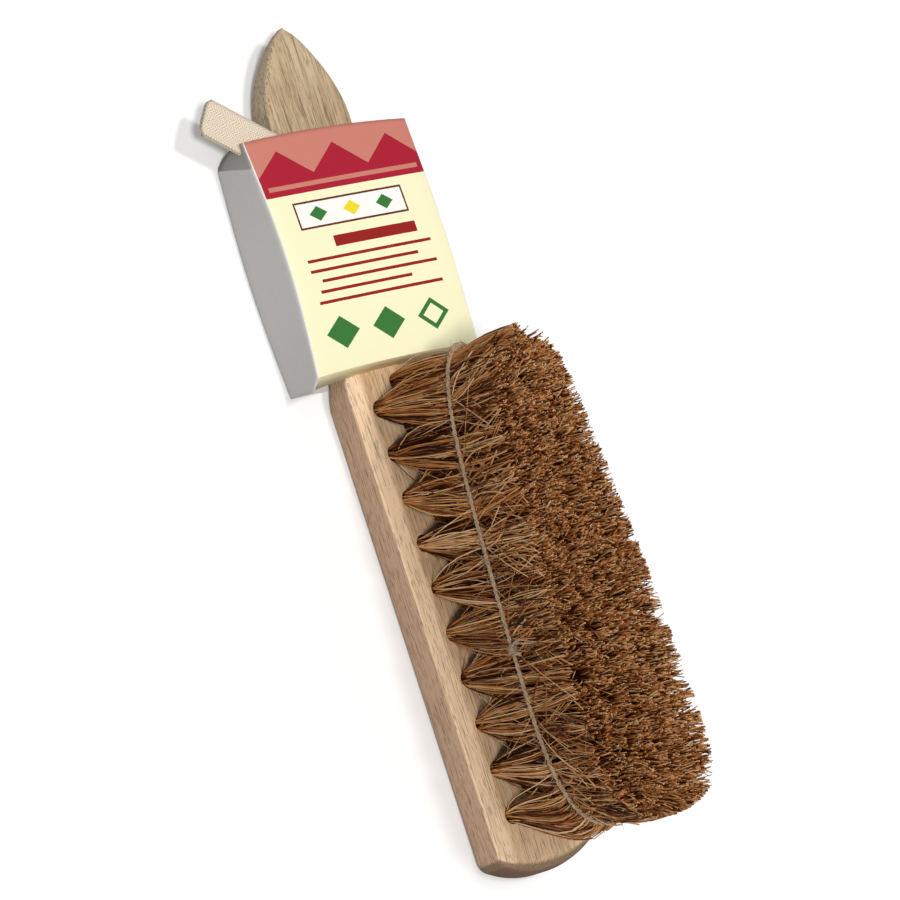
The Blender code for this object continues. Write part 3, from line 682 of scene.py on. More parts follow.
def coir_fibres(row, root, rng, count):
    """Lines, radii and tones of one tuft's fibres, which hold together in clumps."""
    clump = rng.integers(0, CLUMPS_PER_TUFT, count)
    unit = rng.uniform(-1, 1, (CLUMPS_PER_TUFT, 2))[clump]
    unit = fold_back(unit + rng.normal(0, CLUMP_SPREAD_SHARE, (count, 2)))
    crossing = rng.random(count) < CROSSING_SHARE
    wild = rng.random(count) < WILD_SHARE
    disc = unit * np.sqrt(1 - unit[:, ::-1] ** 2 / 2) * ROOT_RADIUS
    root_place = np.column_stack((root.x + disc[:, 0], root.y + disc[:, 1]))

    along, across = field_shares(row, root.x, unit)
    across = np.where(wild, np.sign(across), across)
    scatter = rng.normal(0, WAIST_SCATTER, (CLUMPS_PER_TUFT, 2))[clump]
    scatter += rng.normal(0, FIBRE_WAIST_SCATTER, (count, 2))
    scatter[:, 0] += np.where(wild, rng.normal(0, WILD_SCATTER, count), 0)
    scatter[:, 0] += np.where(crossing, rng.normal(0, LOW_CROSSING_SCATTER, count), 0)
    clear = TWINE_DIAMETER / 2 + FIBRE_RADII[1]
    within = along * LATTICE_HALF * BUNDLE_LENGTH_SHARE + scatter[:, 0]
    within = fold_back(within / (TWINE_HALF_LENGTH - clear))
    half = plan_half_width(within, TWINE_HALF_WIDTH, TWINE_TAPER_SHARE, TWINE_SQUARENESS) - clear
    half = np.maximum(half, clear)
    waist_x = TWINE_CENTRE + within * (TWINE_HALF_LENGTH - clear)
    waist = np.column_stack((waist_x, np.clip(across * half + scatter[:, 1], -half, half)))

    spread = rng.normal(0, CLUMP_TIP_SCATTER, (CLUMPS_PER_TUFT, 2))[clump]
    spread += rng.normal(0, TIP_SCATTER, (count, 2))
    spread[:, 0] += np.where(crossing, rng.normal(0, CROSSING_SCATTER, count), 0)
    tip_along = fold_back(along + spread[:, 0] / TIP_HALF_LENGTH)
    tip_across = fold_back(across + spread[:, 1] / TIP_HALF_WIDTH)
    near_side = across < -SIDE_START_SHARE
    flare = np.where(near_side, rng.random(count) * SIDE_FLARE, 0)
    tip_half = plan_half_width(tip_along, TIP_HALF_WIDTH, TIP_TAPER_SHARE, TIP_SQUARENESS)
    tip = np.column_stack((LATTICE_CENTRE + TIP_LEAN + tip_along * TIP_HALF_LENGTH,
                           tip_across * tip_half + TIP_SIDE_LEAN - flare))
    short = rng.random(count) < np.where(near_side, SIDE_SHORT_SHARE, SHORT_SHARE)
    trim = rng.exponential(TRIM_SCATTER, count).clip(0, TRIM_LIMIT)
    trim += rng.uniform(0, CLUMP_TRIM_SCATTER, CLUMPS_PER_TUFT)[clump]
    tip_z = TIP_Z - trim - short * rng.random(count) * SHORT_CUT

    curl = rng.normal(0, 1, (2, count, 2))
    low_curl = curl[0] * np.where(wild, WILD_CURL, LOW_CURL)[:, None]
    high_curl = curl[1] * HIGH_CURL
    belly = np.column_stack((END_BELLY * along.clip(0, 1) ** END_BELLY_POWER, np.zeros(count)))
    stations = [np.column_stack((root_place, np.full(count, FACE_Z - ROOT_DEPTH)))]
    for t in LOW_STEPS:
        fan = 1 - (1 - t) ** FAN_POWER
        flat = root_place + (waist - root_place) * fan + low_curl * math.sin(math.pi * t)
        flat += belly * math.sin(math.pi * t * t)
        stations.append(np.column_stack((flat, np.full(count, FACE_Z + TWINE_HEIGHT * t))))
    for t in HIGH_STEPS:
        flat = waist + (tip - waist) * t + high_curl * math.sin(math.pi * t)
        stations.append(np.column_stack((flat, TWINE_Z + (tip_z - TWINE_Z) * t)))
    lines = np.stack(stations, axis=1)
    ease = np.ones(lines.shape[1])
    ease[0] = ROOT_EASE_SHARE
    size = rng.uniform(*FIBRE_RADII, count) * np.where(wild, WILD_SIZE_SHARE, 1)
    own_tone = rng.normal(TONE_MEAN, TONE_SPREAD, count) + np.where(wild, WILD_SHADE, 0)
    tones = np.repeat(own_tone[:, None], len(ease), axis=1)
    # Painted shade: the fibres inside the bundle, the roots and the cut ends are darkened.
    depth = np.minimum(1 - np.abs(across), 1 - np.abs(along))
    inner_painted_shade = ((depth - INNER_SHADE_START) / INNER_SHADE_FADE).clip(0, 1) * ~wild
    tones[:, :2] += ROOT_PAINTED_SHADE
    tones[:, 2:-2] += INNER_PAINTED_SHADE * inner_painted_shade[:, None]
    tones[:, -2] += TIP_INNER_PAINTED_SHADE * inner_painted_shade
    tones[:, -1] += CUT_END_PAINTED_SHADE
    return lines, size[:, None] * ease, np.clip(tones, DARKEST_TONE, PALEST_TONE)


rng = np.random.default_rng(FIBRE_SEED)
for name in sorted(tuft_roots):
    row = int(name[len("tuft_row")]) - 1
    lines, radii, tones = coir_fibres(row, tuft_roots[name], rng, FIBRES_PER_TUFT)
    mesh = fibres_mesh("coir_" + name, lines, radii, tones)
    mesh.materials.append(coir)
    tuft = add_object("coir_" + name, mesh)
    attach(tuft, "stock_body")
    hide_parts(name)


# The binding twine
# A two-ply jute twine tied once round the whole bundle, half way up the bristles.  The plies
# are twisted, unbleached and hairy; one knot sits on the near side, one at the handle end.

PLY_COUNT = 2
PLY_RADIUS = 0.00044
PLY_REACH = 0.00036
PLY_RESOLUTION = 2
LAY_LENGTH = 0.0052
LAY_POINTS = 8
NEVER_ALONG = (0.35, 0.2, 0.9)
BELT_EASE = 0.5
BELT_SAMPLES = 3000
TWINE_HAIRS = 620
HAIR_RADIUS = 0.00007
HAIR_LENGTHS = (0.0015, 0.006)
HAIR_LEAN_SHARE = 0.35
HAIR_STEPS = 5
JUTE_COLOURS = ("#755336", "#dcbf9a")
JUTE_BLOTCH = 0.0014
JUTE_DETAIL = 4.0
JUTE_RAGGEDNESS = 0.7
JUTE_FINISH = {"Roughness": 0.85, "Sheen Weight": 0.3, "Specular IOR Level": 0.2}

# Jute is a soft straw-grey bast fibre with a dull sheen; the ply's own fibres show as fine
# dark and light streaks.
jute, tree, shader = new_material("twisted_jute", JUTE_FINISH)
jute_streaks = mottle(tree, 1 / JUTE_BLOTCH, JUTE_DETAIL, JUTE_RAGGEDNESS)
feed(shader, {"Base Color": mixed(tree, jute_streaks, *JUTE_COLOURS)})


def belt_line():
    """The twine's middle line once round the bundle, in even steps."""
    angle = np.linspace(0, 2 * math.pi, BELT_SAMPLES, endpoint=False)
    along = np.copysign(np.abs(np.cos(angle)) ** BELT_EASE, np.cos(angle))
    half = plan_half_width(along, TWINE_HALF_WIDTH, TWINE_TAPER_SHARE, TWINE_SQUARENESS)
    ring = np.column_stack((TWINE_CENTRE + along * TWINE_HALF_LENGTH,
                            np.copysign(half, np.sin(angle)), np.full(BELT_SAMPLES, TWINE_Z)))
    ring = np.vstack((ring, ring[:1]))
    run = np.concatenate(([0], np.cumsum(np.linalg.norm(np.diff(ring, axis=0), axis=1))))
    turns = round(run[-1] / LAY_LENGTH)
    places = np.linspace(0, run[-1], turns * LAY_POINTS, endpoint=False)
    return np.column_stack([np.interp(places, run, ring[:, axis]) for axis in range(3)]), turns


def unit_rows(vectors):
    """Each row of an array as a direction one unit long."""
    return vectors / np.linalg.norm(vectors, axis=1)[:, None]


def twisted(points, turns, closed):
    """The plies of a twine along a line: helices that wind round it."""
    if closed:
        tangent = unit_rows(np.roll(points, -1, axis=0) - np.roll(points, 1, axis=0))
    else:
        tangent = unit_rows(np.gradient(points, axis=0))
    aside = unit_rows(np.cross(tangent, NEVER_ALONG))
    over = np.cross(aside, tangent)
    angle = np.arange(len(points)) / len(points) * turns * 2 * math.pi
    plies = []
    for ply in range(PLY_COUNT):
        lay = angle + 2 * math.pi * ply / PLY_COUNT
        away = np.cos(lay)[:, None] * aside + np.sin(lay)[:, None] * over
        plies.append(points + PLY_REACH * away)
    return plies


def twine_piece(name, plies, closed, hairs, node):
    """Twisted plies with their loose hairs, as one piece."""
    curve = bpy.data.curves.new(name, "CURVE")
    curve.dimensions = "3D"
    curve.bevel_depth = PLY_RADIUS
    curve.bevel_resolution = PLY_RESOLUTION
    curve.use_fill_caps = True
    for ply in plies:
        add_line(curve, ply, np.ones(len(ply)), closed)
    bm = bmesh.new()
    bm.from_mesh(swept_mesh(curve))
    count = len(hairs)
    hair_mesh = fibres_mesh(name + "_hairs", hairs, np.full((count, HAIR_STEPS), HAIR_RADIUS),
                            np.ones((count, HAIR_STEPS)))
    bm.from_mesh(hair_mesh)
    bpy.data.meshes.remove(hair_mesh)
    return finish_piece(name, bm, [jute], "stock_body", [node], math.pi)


def loose_hairs(points, count, lengths, rng):
    """Short hairs that leave a line at low angles and bend away from it."""
    pick = rng.integers(1, len(points) - 1, count)
    start = points[pick]
    run = unit_rows(points[pick + 1] - points[pick - 1]) * rng.choice((-1, 1), count)[:, None]
    away = unit_rows(rng.normal(0, 1, (count, 3)))
    length = rng.uniform(*lengths, count)[:, None]
    steps = np.linspace(0, 1, HAIR_STEPS)
    places = [start + length * (run * t + away * HAIR_LEAN_SHARE * t * t * 2) for t in steps]
    return np.stack(places, axis=1)


belt, belt_turns = belt_line()
twine_rng = np.random.default_rng(FIBRE_SEED + 1)
twine_piece("jute_binding_twine", twisted(belt, belt_turns, True), True,
            loose_hairs(belt, TWINE_HAIRS, HAIR_LENGTHS, twine_rng), "binding_twine")

KNOT_TURNS = 3
KNOT_RADIUS = 0.0009
KNOT_PITCH = 0.0007
KNOT_POINTS = 14
KNOT_TAIL = 0.006
KNOT_TAIL_STEPS = 8
KNOT_HAIRS = 160
KNOT_HAIR_LENGTHS = (0.0006, 0.0022)
KNOT_TAIL_WAYS = {"twine_side_knot": (0.9, 0.25, 0.0), "twine_end_knot": (-0.1, 0.9, 0.9)}


def knot_line(centre, outward, rise_share, spread_share, tuck_share, rng):
    """Tight turns of the twine's end round the belt, with two tails that part."""
    up = np.array((0, 0, 1.0))
    along = np.cross(up, outward)
    angle = np.linspace(0, KNOT_TURNS * 2 * math.pi, KNOT_TURNS * KNOT_POINTS)
    drift = (angle / (2 * math.pi) - KNOT_TURNS / 2) * KNOT_PITCH
    turns = (centre + drift[:, None] * along
             + KNOT_RADIUS * (np.cos(angle)[:, None] * outward + np.sin(angle)[:, None] * up))
    tails = []
    for end, way in ((turns[0], -1), (turns[-1], 1)):
        steps = np.linspace(0, 1, KNOT_TAIL_STEPS + 1)[1:, None]
        lean = up * rise_share + way * along * spread_share
        bend = rng.normal(0, 1, 3) * KNOT_RADIUS / 2
        tuck = -outward * tuck_share * steps ** 2
        tails.append(end + (lean * steps + tuck) * KNOT_TAIL + bend * np.sin(steps * math.pi / 2))
    return np.vstack((tails[0][::-1], turns, tails[1]))


for name, tail_ways in KNOT_TAIL_WAYS.items():
    low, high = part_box(name)
    middle = np.array((low + high) / 2)
    nearest = belt[np.argmin(np.linalg.norm(belt - middle, axis=1))]
    outward = middle - nearest
    outward[2] = 0
    outward /= np.linalg.norm(outward)
    line = knot_line(nearest, outward, *tail_ways, twine_rng)
    run = np.linalg.norm(np.diff(line, axis=0), axis=1).sum()
    twine_piece("jute_" + name, twisted(line, run / LAY_LENGTH, False), False,
                loose_hairs(line, KNOT_HAIRS, KNOT_HAIR_LENGTHS, twine_rng), name)


# The card sleeve
# A band of thin greyboard, printed on its outer front, creased into a flat box and glued.
# It slips over the handle and holds itself open; its panels belly out, the near side's top
# corner is creased and pushed in, and the front's lower edge is folded down on to the stock.

SLEEVE_LENGTH = 0.090
SLEEVE_WIDTH = 0.0794
SLEEVE_DEPTH = 0.020
SLEEVE_TO_TUFTS = 0.0034
CARD_THICKNESS = 0.0005
FOLD_RADIUS = 0.0012
BACK_BULGE = 0.0021
FRONT_PINCH = 0.0009
FRONT_BULGE = 0.0029
FRONT_CROWN = 0.0008
EDGE_BOW = 0.0012
SLEEVE_RACK = 0.0025
FLOOR_CLEARANCE = 0.0006
LIP_CLEARANCE = 0.0003
LIP_LEAN = 0.0018
LIP_CORNER_LEAN = 0.0036
LIP_RISE = (FACE_Z + LIP_CLEARANCE - FLOOR_CLEARANCE) / SLEEVE_DEPTH
GUSSET_POWER = 14
NOTCH_LENGTH = 0.010
LEAST_RISE = 0.0005
FLAP_DEPTH = 0.0035
FLAP_ARC = 0.0036
FLAP_DROP = 0.0020
FLAP_SKEW = 0.7
FRONT_OVERRUNS = (0.0020, 0.0010)
RIM_POWER = 4
SLEEVE_STATIONS = 60
SLEEVE_CUTS = 16
SIDE_CUTS = 10
FOLD_SEGMENTS = 4
FACING_FRONT = 0.93
FACING_FOLD = 0.72
CARD_SMOOTH_ANGLE = math.radians(20)

SLEEVE_MOUTH = -FIELD_HALF - TUFT_PITCH / 2 - HOLE_DIAMETER / 2 - SLEEVE_TO_TUFTS
SLEEVE_TOP = SLEEVE_MOUTH - SLEEVE_LENGTH
SLEEVE_MIDDLE = (SLEEVE_MOUTH + SLEEVE_TOP) / 2

PRINT_CREAM = "#fffad0"
PRINT_CRIMSON = "#b02236"
PRINT_SALMON = "#d28474"
PRINT_WHITE = "#fffdf6"
PRINT_BROWN = "#6b2f22"
PRINT_RED = "#9c2420"
PRINT_GREEN = "#3c7c3b"
PRINT_YELLOW = "#f5df35"
CARD_GREYS = ("#c5c1be", "#d7d3d0")
# Painted shade for the near panel past the pushed-in corner's crease.
CARD_PAINTED_SHADE_GREY = "#6f6965"
PAINTED_SHADE_GREY_SHARE = 0.5
CARD_FIBRE = 0.0006
COATING_FINISH = {"Roughness": 0.55, "Specular IOR Level": 0.12}
GREYBOARD_FINISH = {"Roughness": 0.7}
WHITE_FOLD_AND_HIGHLIGHT_FINISH = {"Base Color": "#f4f0e8", "Roughness": 0.8}
CARD_EDGE_FINISH = {"Base Color": "#e9e5de", "Roughness": 0.9}
HEADER_LENGTH = 0.0212
ZIGZAG_PERIOD = 0.0265
ZIGZAG_DEPTH = 0.0105
ZIGZAG_START = 0.0035

# The reliefs of the card's fibres: the noise's detail and raggedness, the bump's strength and
# its depth in metres.
COATING_RELIEF = (3.0, 0.5, 0.15, 0.00005)
GREYBOARD_RELIEF = (4.0, 0.7, 0.25, 0.00008)
FOLD_RELIEF = (2.0, 0.5, 0.3, 0.00008)

# The print's bars and lozenges, each over what comes before it: the colour, how far down the
# front its middle is and half its height, how far across its middle is and half its width.
BARS = (
    (PRINT_SALMON, 0.0180, 0.0009, 0.0000, 0.0360),
    (PRINT_BROWN, 0.0300, 0.0054, -0.0020, 0.0262),
    (PRINT_WHITE, 0.0300, 0.0046, -0.0020, 0.0254),
    (PRINT_RED, 0.0415, 0.0021, 0.0050, 0.0200),
    (PRINT_RED, 0.0475, 0.0006, 0.0000, 0.0300),
    (PRINT_RED, 0.0515, 0.0006, -0.0040, 0.0260),
    (PRINT_RED, 0.0555, 0.0006, 0.0020, 0.0280),
    (PRINT_RED, 0.0595, 0.0006, -0.0060, 0.0220),
    (PRINT_RED, 0.0635, 0.0006, 0.0000, 0.0300),
)
LOZENGES = (
    (PRINT_GREEN, 0.0300, 0.0030, -0.0180, 0.0042),
    (PRINT_YELLOW, 0.0300, 0.0030, -0.0020, 0.0042),
    (PRINT_GREEN, 0.0300, 0.0030, 0.0140, 0.0042),
    (PRINT_GREEN, 0.0755, 0.0062, -0.0230, 0.0078),
    (PRINT_GREEN, 0.0755, 0.0062, -0.0010, 0.0078),
    (PRINT_GREEN, 0.0755, 0.0062, 0.0210, 0.0078),
    (PRINT_CREAM, 0.0755, 0.0040, 0.0210, 0.0050),
)

# Clay-coated carton board: a smooth, faintly glossy printed skin outside, bare grey recycled
# fibre inside and on the sides.  The print is plain bands, bars and lozenges.
printed, tree, shader = new_material("printed_carton_board", COATING_FINISH)
card_spot = add_node(tree, "SeparateXYZ", inputs={
    "Vector": add_node(tree, "TexCoord").outputs["Object"]})
print_down = maths(tree, "SUBTRACT", card_spot.outputs["X"], SLEEVE_TOP)
print_across = card_spot.outputs["Y"]


def bar_mask(tree, down_middle, half_height, across_middle, half_width):
    """1 inside an upright bar of the print, and 0 outside it."""
    tall = maths(tree, "COMPARE", print_down, down_middle, half_height)
    wide = maths(tree, "COMPARE", print_across, across_middle, half_width)
    return maths(tree, "MULTIPLY", tall, wide)


def lozenge_mask(tree, down_middle, half_height, across_middle, half_width):
    """1 inside a lozenge of the print, and 0 outside it."""
    reach = []
    for source, middle, half in ((print_down, down_middle, half_height),
                                 (print_across, across_middle, half_width)):
        away = maths(tree, "SUBTRACT", source, middle)
        reach.append(maths(tree, "DIVIDE", maths(tree, "ABSOLUTE", away), half))
    return maths(tree, "LESS_THAN", maths(tree, "ADD", *reach), 1.0)


def fibre_relief(tree, shader, detail, raggedness, strength, depth):
    """Gives a finish of the card the fine relief of its fibres, and returns their noise."""
    fibres = mottle(tree, 1 / CARD_FIBRE, detail, raggedness)
    bump = add_node(tree, "Bump", inputs={
        "Height": fibres, "Strength": strength, "Distance": depth})
    feed(shader, {"Normal": bump})
    return fibres


zigzag = maths(tree, "PINGPONG", print_across, ZIGZAG_PERIOD / 2)
zigzag_line = add_node(tree, "MapRange", inputs={
    "Value": zigzag, "From Max": ZIGZAG_PERIOD / 2,
    "To Min": ZIGZAG_START, "To Max": ZIGZAG_START + ZIGZAG_DEPTH})
bunting = maths(tree, "LESS_THAN", print_down, zigzag_line)
header = bar_mask(tree, 0.0, HEADER_LENGTH, 0.0, SLEEVE_WIDTH)
ink = lay_over(tree, PRINT_CREAM, PRINT_CRIMSON, header)
ink = lay_over(tree, ink, PRINT_SALMON, bunting)
for mask, shapes in ((bar_mask, BARS), (lozenge_mask, LOZENGES)):
    for colour, *sides in shapes:
        ink = lay_over(tree, ink, colour, mask(tree, *sides))
feed(shader, {"Base Color": ink})
fibre_relief(tree, shader, *COATING_RELIEF)

# Bare recycled board: a mottled mid grey that takes no highlight.  The near panel past the
# pushed-in corner's crease is darkened with painted shade.
greyboard, tree, shader = new_material("bare_greyboard", GREYBOARD_FINISH)
grey_fibres = fibre_relief(tree, shader, *GREYBOARD_RELIEF)
grey_mix = mixed(tree, grey_fibres, *CARD_GREYS)
pushed_in_painted_shade = add_node(tree, "Attribute", {"attribute_name": "pushed_in_painted_shade"}).outputs["Fac"]
grey_with_painted_shade = lay_over(tree, grey_mix, CARD_PAINTED_SHADE_GREY, pushed_in_painted_shade, PAINTED_SHADE_GREY_SHARE)
feed(shader, {"Base Color": grey_with_painted_shade})

# Along the front's rounded folds the board is near-white: partly the paper core where the
# coating cracks, partly a painted highlight along the fold.
fold_core_and_painted_highlight, tree, shader = new_material("white_fold_core_and_painted_highlight", WHITE_FOLD_AND_HIGHLIGHT_FINISH)
fibre_relief(tree, shader, *FOLD_RELIEF)

# The die cut leaves the board's pale pulp bare all along its rims.
cut_edge, tree, shader = new_material("raw_cut_board_edge", CARD_EDGE_FINISH)


def past_crease(place):
    """How far a place of the near panel is past the corner's crease: 0 at it, 1 at the rim."""
    if place.y > -FACING_FRONT * SLEEVE_WIDTH / 2:
        return 0.0
    rise = (place.z - FLOOR_CLEARANCE) / SLEEVE_DEPTH
    return max(0.0, 1 - (place.x - SLEEVE_TOP) / (NOTCH_LENGTH * max(rise, LEAST_RISE)))


bm = bmesh.new()
made = bmesh.ops.create_cube(bm, size=1.0)
bmesh.ops.scale(bm, verts=made["verts"], vec=Vector((SLEEVE_LENGTH, SLEEVE_WIDTH, SLEEVE_DEPTH)))
bmesh.ops.translate(bm, verts=made["verts"],
                    vec=Vector((SLEEVE_MIDDLE, 0, FLOOR_CLEARANCE + SLEEVE_DEPTH / 2)))
ends = [face for face in bm.faces if abs(face.normal.x) > 0.5]
bmesh.ops.delete(bm, geom=ends, context="FACES_ONLY")
long_edges = [e for e in bm.edges if abs(e.verts[0].co.x - e.verts[1].co.x) > SLEEVE_LENGTH / 2]
bmesh.ops.bevel(bm, geom=long_edges, affect="EDGES", offset=FOLD_RADIUS, segments=FOLD_SEGMENTS,
                profile=0.5, material=-1)
for axis, cuts in ((1, SLEEVE_CUTS), (2, SIDE_CUTS)):
    wide = [e for e in bm.edges if abs(e.verts[0].co[axis] - e.verts[1].co[axis]) > 3 * FOLD_RADIUS]
    bmesh.ops.subdivide_edges(bm, edges=wide, cuts=cuts, use_grid_fill=True)
long_edges = [e for e in bm.edges if abs(e.verts[0].co.x - e.verts[1].co.x) > SLEEVE_LENGTH / 2]
bmesh.ops.subdivide_edges(bm, edges=long_edges, cuts=SLEEVE_STATIONS - 1, use_grid_fill=True)
bmesh.ops.recalc_face_normals(bm, faces=bm.faces)
# The front takes the print, the rounded folds above it the near-white of core and painted
# highlight, and the rest bare board.
for face in bm.faces:
    up = face.normal.z
    face.material_index = 0 if up > FACING_FRONT else 1 if up > FACING_FOLD else 2
lip_edges = []
for edge in bm.edges:
    at_mouth = all(abs(vert.co.x - SLEEVE_MOUTH) < CARD_THICKNESS for vert in edge.verts)
    if at_mouth and edge.link_faces[0].normal.z > FACING_FRONT:
        lip_edges.append(edge)
near_panel = [face for face in bm.faces if face.normal.y < -FACING_FRONT]
near_panel += list({edge for face in near_panel for edge in face.edges})
near_panel += list({vert for edge in near_panel if isinstance(edge, bmesh.types.BMEdge)
                    for vert in edge.verts})
bmesh.ops.bisect_plane(bm, geom=near_panel, dist=CARD_THICKNESS / 4,
                       plane_co=Vector((SLEEVE_TOP, 0, FLOOR_CLEARANCE)),
                       plane_no=Vector((SLEEVE_DEPTH, 0, -NOTCH_LENGTH)).normalized())
# Faces past the crease are marked for painted shade.
painted_shade_faces = bm.faces.layers.float.new("pushed_in_painted_shade")
for face in bm.faces:
    face[painted_shade_faces] = float(past_crease(face.calc_center_median()) > 0)
for vert in bm.verts:
    down = vert.co.x - SLEEVE_TOP
    aside = vert.co.y / (SLEEVE_WIDTH / 2)
    rise = (vert.co.z - FLOOR_CLEARANCE) / SLEEVE_DEPTH
    bulge = math.sin(math.pi * down / SLEEVE_LENGTH)
    level = 1 - aside ** 2
    near_top = (1 - down / SLEEVE_LENGTH) ** RIM_POWER
    near_rims = near_top + (down / SLEEVE_LENGTH) ** RIM_POWER
    shift = Vector((SLEEVE_RACK * (1 - rise) - EDGE_BOW * rise * level * near_rims,
                    lerp(BACK_BULGE, -FRONT_PINCH, rise) * bulge * aside,
                    rise * (FRONT_BULGE * bulge + FRONT_CROWN * level)))
    shift.x -= rise * lerp(*FRONT_OVERRUNS, (1 + aside) / 2) * near_top
    if aside < -FACING_FRONT:
        dent = past_crease(vert.co) * math.sin(math.pi * min(1.0, max(0.0, rise)) ** FLAP_SKEW)
        at_lip = min((1 - rise) / (1 - LIP_RISE), rise / LIP_RISE)
        gusset = at_lip * (down / SLEEVE_LENGTH) ** GUSSET_POWER
        shift += Vector((LIP_CORNER_LEAN * gusset - FLAP_ARC * dent, FLAP_DEPTH * dent,
                         -FLAP_DROP * dent))
    vert.co += shift
made = bmesh.ops.extrude_edge_only(bm, edges=lip_edges)
for item in made["geom"]:
    if isinstance(item, bmesh.types.BMVert):
        aside = item.co.y / (SLEEVE_WIDTH / 2)
        item.co.x += lerp(LIP_LEAN, LIP_CORNER_LEAN, aside ** 2)
        item.co.z = FACE_Z + LIP_CLEARANCE
    elif isinstance(item, bmesh.types.BMFace):
        item.material_index = 0
bmesh.ops.recalc_face_normals(bm, faces=bm.faces)
sleeve = finish_piece("card_band_sleeve", bm, [printed, fold_core_and_painted_highlight, greyboard, cut_edge],
                      "sleeve_body", ["card_sleeve"], CARD_SMOOTH_ANGLE)

# Behind the print the board is bare grey; behind the rest and along its rims it is pale pulp.
walls = sleeve.modifiers.new("board", "SOLIDIFY")
walls.thickness = CARD_THICKNESS
walls.offset = -1.0
walls.material_offset = 2
walls.material_offset_rim = 3


# The hanging loop
# A doubled length of unbleached cotton herringbone tape, folded flat with its corners drawn
# in.  Its two ends are laid on the handle's face, one on the other, and held by one
# round-headed steel tack.

TAPE_WIDTH = 0.015
TAPE_THICKNESS = 0.0007
TAPE_CLEARANCE = 0.0003
LOOP_REACH = 0.050
LOOP_TAIL = 0.006
LOOP_FOLD_HEIGHT = 0.0020
LOOP_ANGLE = math.radians(235)
TACK_INSET = 0.0136
TACK_OFFSET = 0.008
CORNER_PULL = 0.0016
CORNER_POWER = 6
TAPE_STATIONS = 90
TAPE_CUTS = 10
FOLD_POINTS = 8
ROUTE_STEPS = 6
CHEVRON_WIDTH = 0.0036
CHEVRON_DETAIL = 3.0
YARN_SPACING = 0.0012
YARN_SWAY = 0.0009
YARN_BUMP_STRENGTH = 0.4
YARN_BUMP_DEPTH = 0.00020
COTTON_COLOURS = ("#cdb48f", "#fbf0e0")
COTTON_FINISH = {"Roughness": 0.9, "Sheen Weight": 0.25}
TACK_X = SLEEVE_TOP + TACK_INSET
TACK_Y = -TACK_OFFSET

# Unbleached cotton: a dull cream cloth whose slanting yarns, reversed at every chevron, show as
# fine tan lines.  The yarns are drawn about twice as coarse as real ones, so that they show.
cotton, tree, shader = new_material("unbleached_herringbone_tape", COTTON_FINISH)
tape_place = add_node(tree, "UVMap", {"uv_map": "tape"})
tape_spot = add_node(tree, "SeparateXYZ", inputs={"Vector": tape_place})
chevron = maths(tree, "PINGPONG", tape_spot.outputs["Y"], CHEVRON_WIDTH / 2)
sway = add_node(tree, "TexNoise", inputs={
    "Vector": tape_place, "Scale": 1 / CHEVRON_WIDTH, "Detail": CHEVRON_DETAIL})
swayed = maths(tree, "MULTIPLY_ADD", sway, 2 * YARN_SWAY, chevron)
slant = maths(tree, "ADD", tape_spot.outputs["X"], swayed)
yarn = maths(tree, "PINGPONG", slant, YARN_SPACING / 2)
yarn_share = add_node(tree, "MapRange", inputs={"Value": yarn, "From Max": YARN_SPACING / 2})
cotton_mix = mixed(tree, yarn_share, *COTTON_COLOURS)
cotton_bump = add_node(tree, "Bump", inputs={
    "Height": yarn_share, "Strength": YARN_BUMP_STRENGTH, "Distance": YARN_BUMP_DEPTH})
feed(shader, {"Base Color": cotton_mix, "Normal": cotton_bump})

low = TAPE_CLEARANCE + TAPE_THICKNESS / 2
fold_radius = (LOOP_FOLD_HEIGHT - TAPE_THICKNESS) / 2
bend = LOOP_REACH - fold_radius
upper = low + TAPE_THICKNESS + TAPE_CLEARANCE
route = [(-LOOP_TAIL, low), (LOOP_TAIL, low), (LOOP_REACH / 2, low), (bend, low)]
for k in range(1, FOLD_POINTS + 1):
    angle = math.pi * k / FOLD_POINTS - math.pi / 2
    route.append((bend + fold_radius * math.cos(angle), low + fold_radius * (1 + math.sin(angle))))
route += [(LOOP_REACH / 2, lerp(upper, low + 2 * fold_radius, 1 / 2)), (2 * LOOP_TAIL, upper),
          (-LOOP_TAIL, upper)]
route = smooth_through([Vector((x, z, 0)) for x, z in route], ROUTE_STEPS)
route = np.array([tuple(point)[:2] for point in route])
run = np.concatenate(([0], np.cumsum(np.linalg.norm(np.diff(route, axis=0), axis=1))))
tape_length = run[-1]
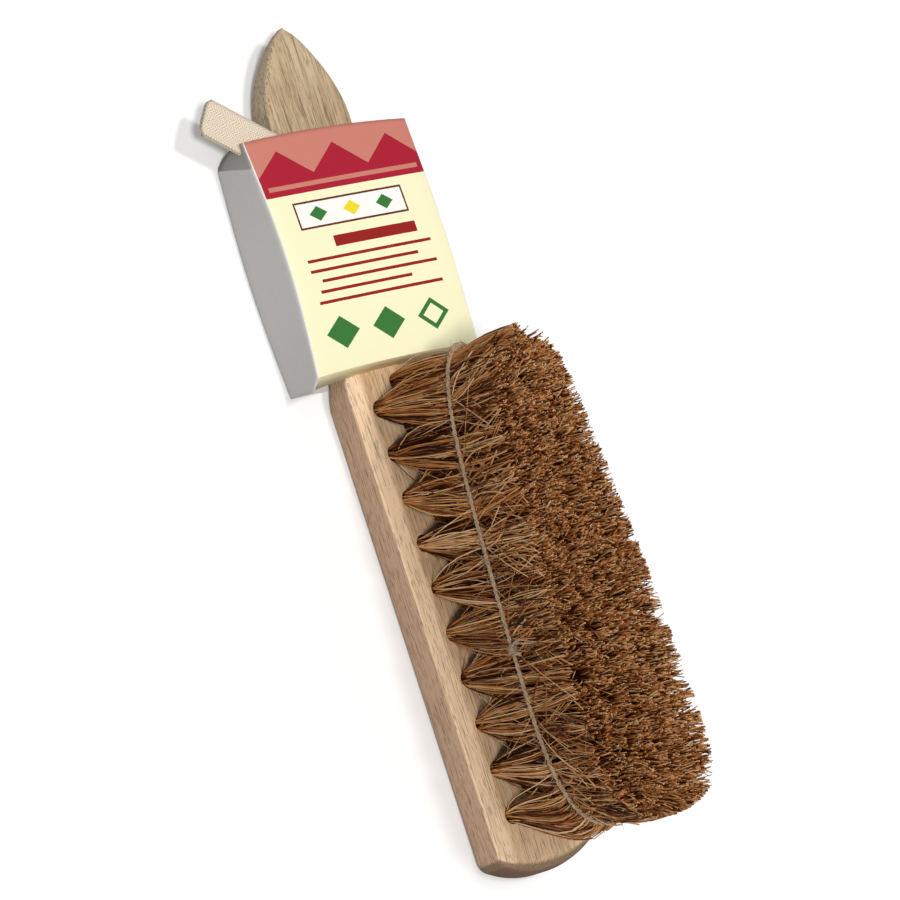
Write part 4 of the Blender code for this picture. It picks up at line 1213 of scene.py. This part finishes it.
bm = bmesh.new()
tape_uv = bm.loops.layers.uv.new("tape")
bmesh.ops.create_grid(bm, x_segments=TAPE_STATIONS, y_segments=TAPE_CUTS, size=1 / 2,
                      calc_uvs=True)
turn = Matrix.Rotation(LOOP_ANGLE, 4, "Z")
for face in bm.faces:
    for corner in face.loops:
        corner[tape_uv].uv.x *= tape_length
        corner[tape_uv].uv.y *= TAPE_WIDTH
for vert in bm.verts:
    wanted = (vert.co.x + 1 / 2) * tape_length
    reach = np.interp(wanted, run, route[:, 0])
    height = np.interp(wanted, run, route[:, 1])
    reach -= CORNER_PULL * (2 * vert.co.y) ** CORNER_POWER * max(0.0, reach / LOOP_REACH)
    spot = turn @ Vector((reach, vert.co.y * TAPE_WIDTH, height))
    vert.co = spot + Vector((TACK_X, TACK_Y, FACE_Z))
tape = finish_piece("cotton_hanging_tape", bm, [cotton], "loop_body",
                    ["hanging_loop"], math.pi)
tape_walls = tape.modifiers.new("cloth", "SOLIDIFY")
tape_walls.thickness = TAPE_THICKNESS
tape_walls.offset = 0.0
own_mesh(tape)


# The tack
# A bright drawn-steel tack with a domed head.  Its shank is driven through both layers of the
# tape into the handle, under the sleeve, and its head clamps them to the wood.

STEEL_FINISH = {"Base Color": "#b9b8b4", "Metallic": 1.0}
STEEL_MARKS_PER_METRE = 900.0
STEEL_MARK_DETAIL = 2.0
STEEL_ROUGHNESSES = (0.22, 0.40)

# Drawn steel: a bright grey metal whose fine scratches make some spots duller than others.
steel, tree, shader = new_material("bright_drawn_steel", STEEL_FINISH)
steel_marks = mottle(tree, STEEL_MARKS_PER_METRE, STEEL_MARK_DETAIL)
steel_rough = add_node(tree, "MapRange", inputs={
    "Value": steel_marks, "To Min": STEEL_ROUGHNESSES[0], "To Max": STEEL_ROUGHNESSES[1]})
feed(shader, {"Roughness": steel_rough})
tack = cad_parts["loop_tack"]
tack.data.materials.clear()
tack.data.materials.append(steel)

bpy.data.objects.remove(fibre_section)
bpy.context.view_layer.update()
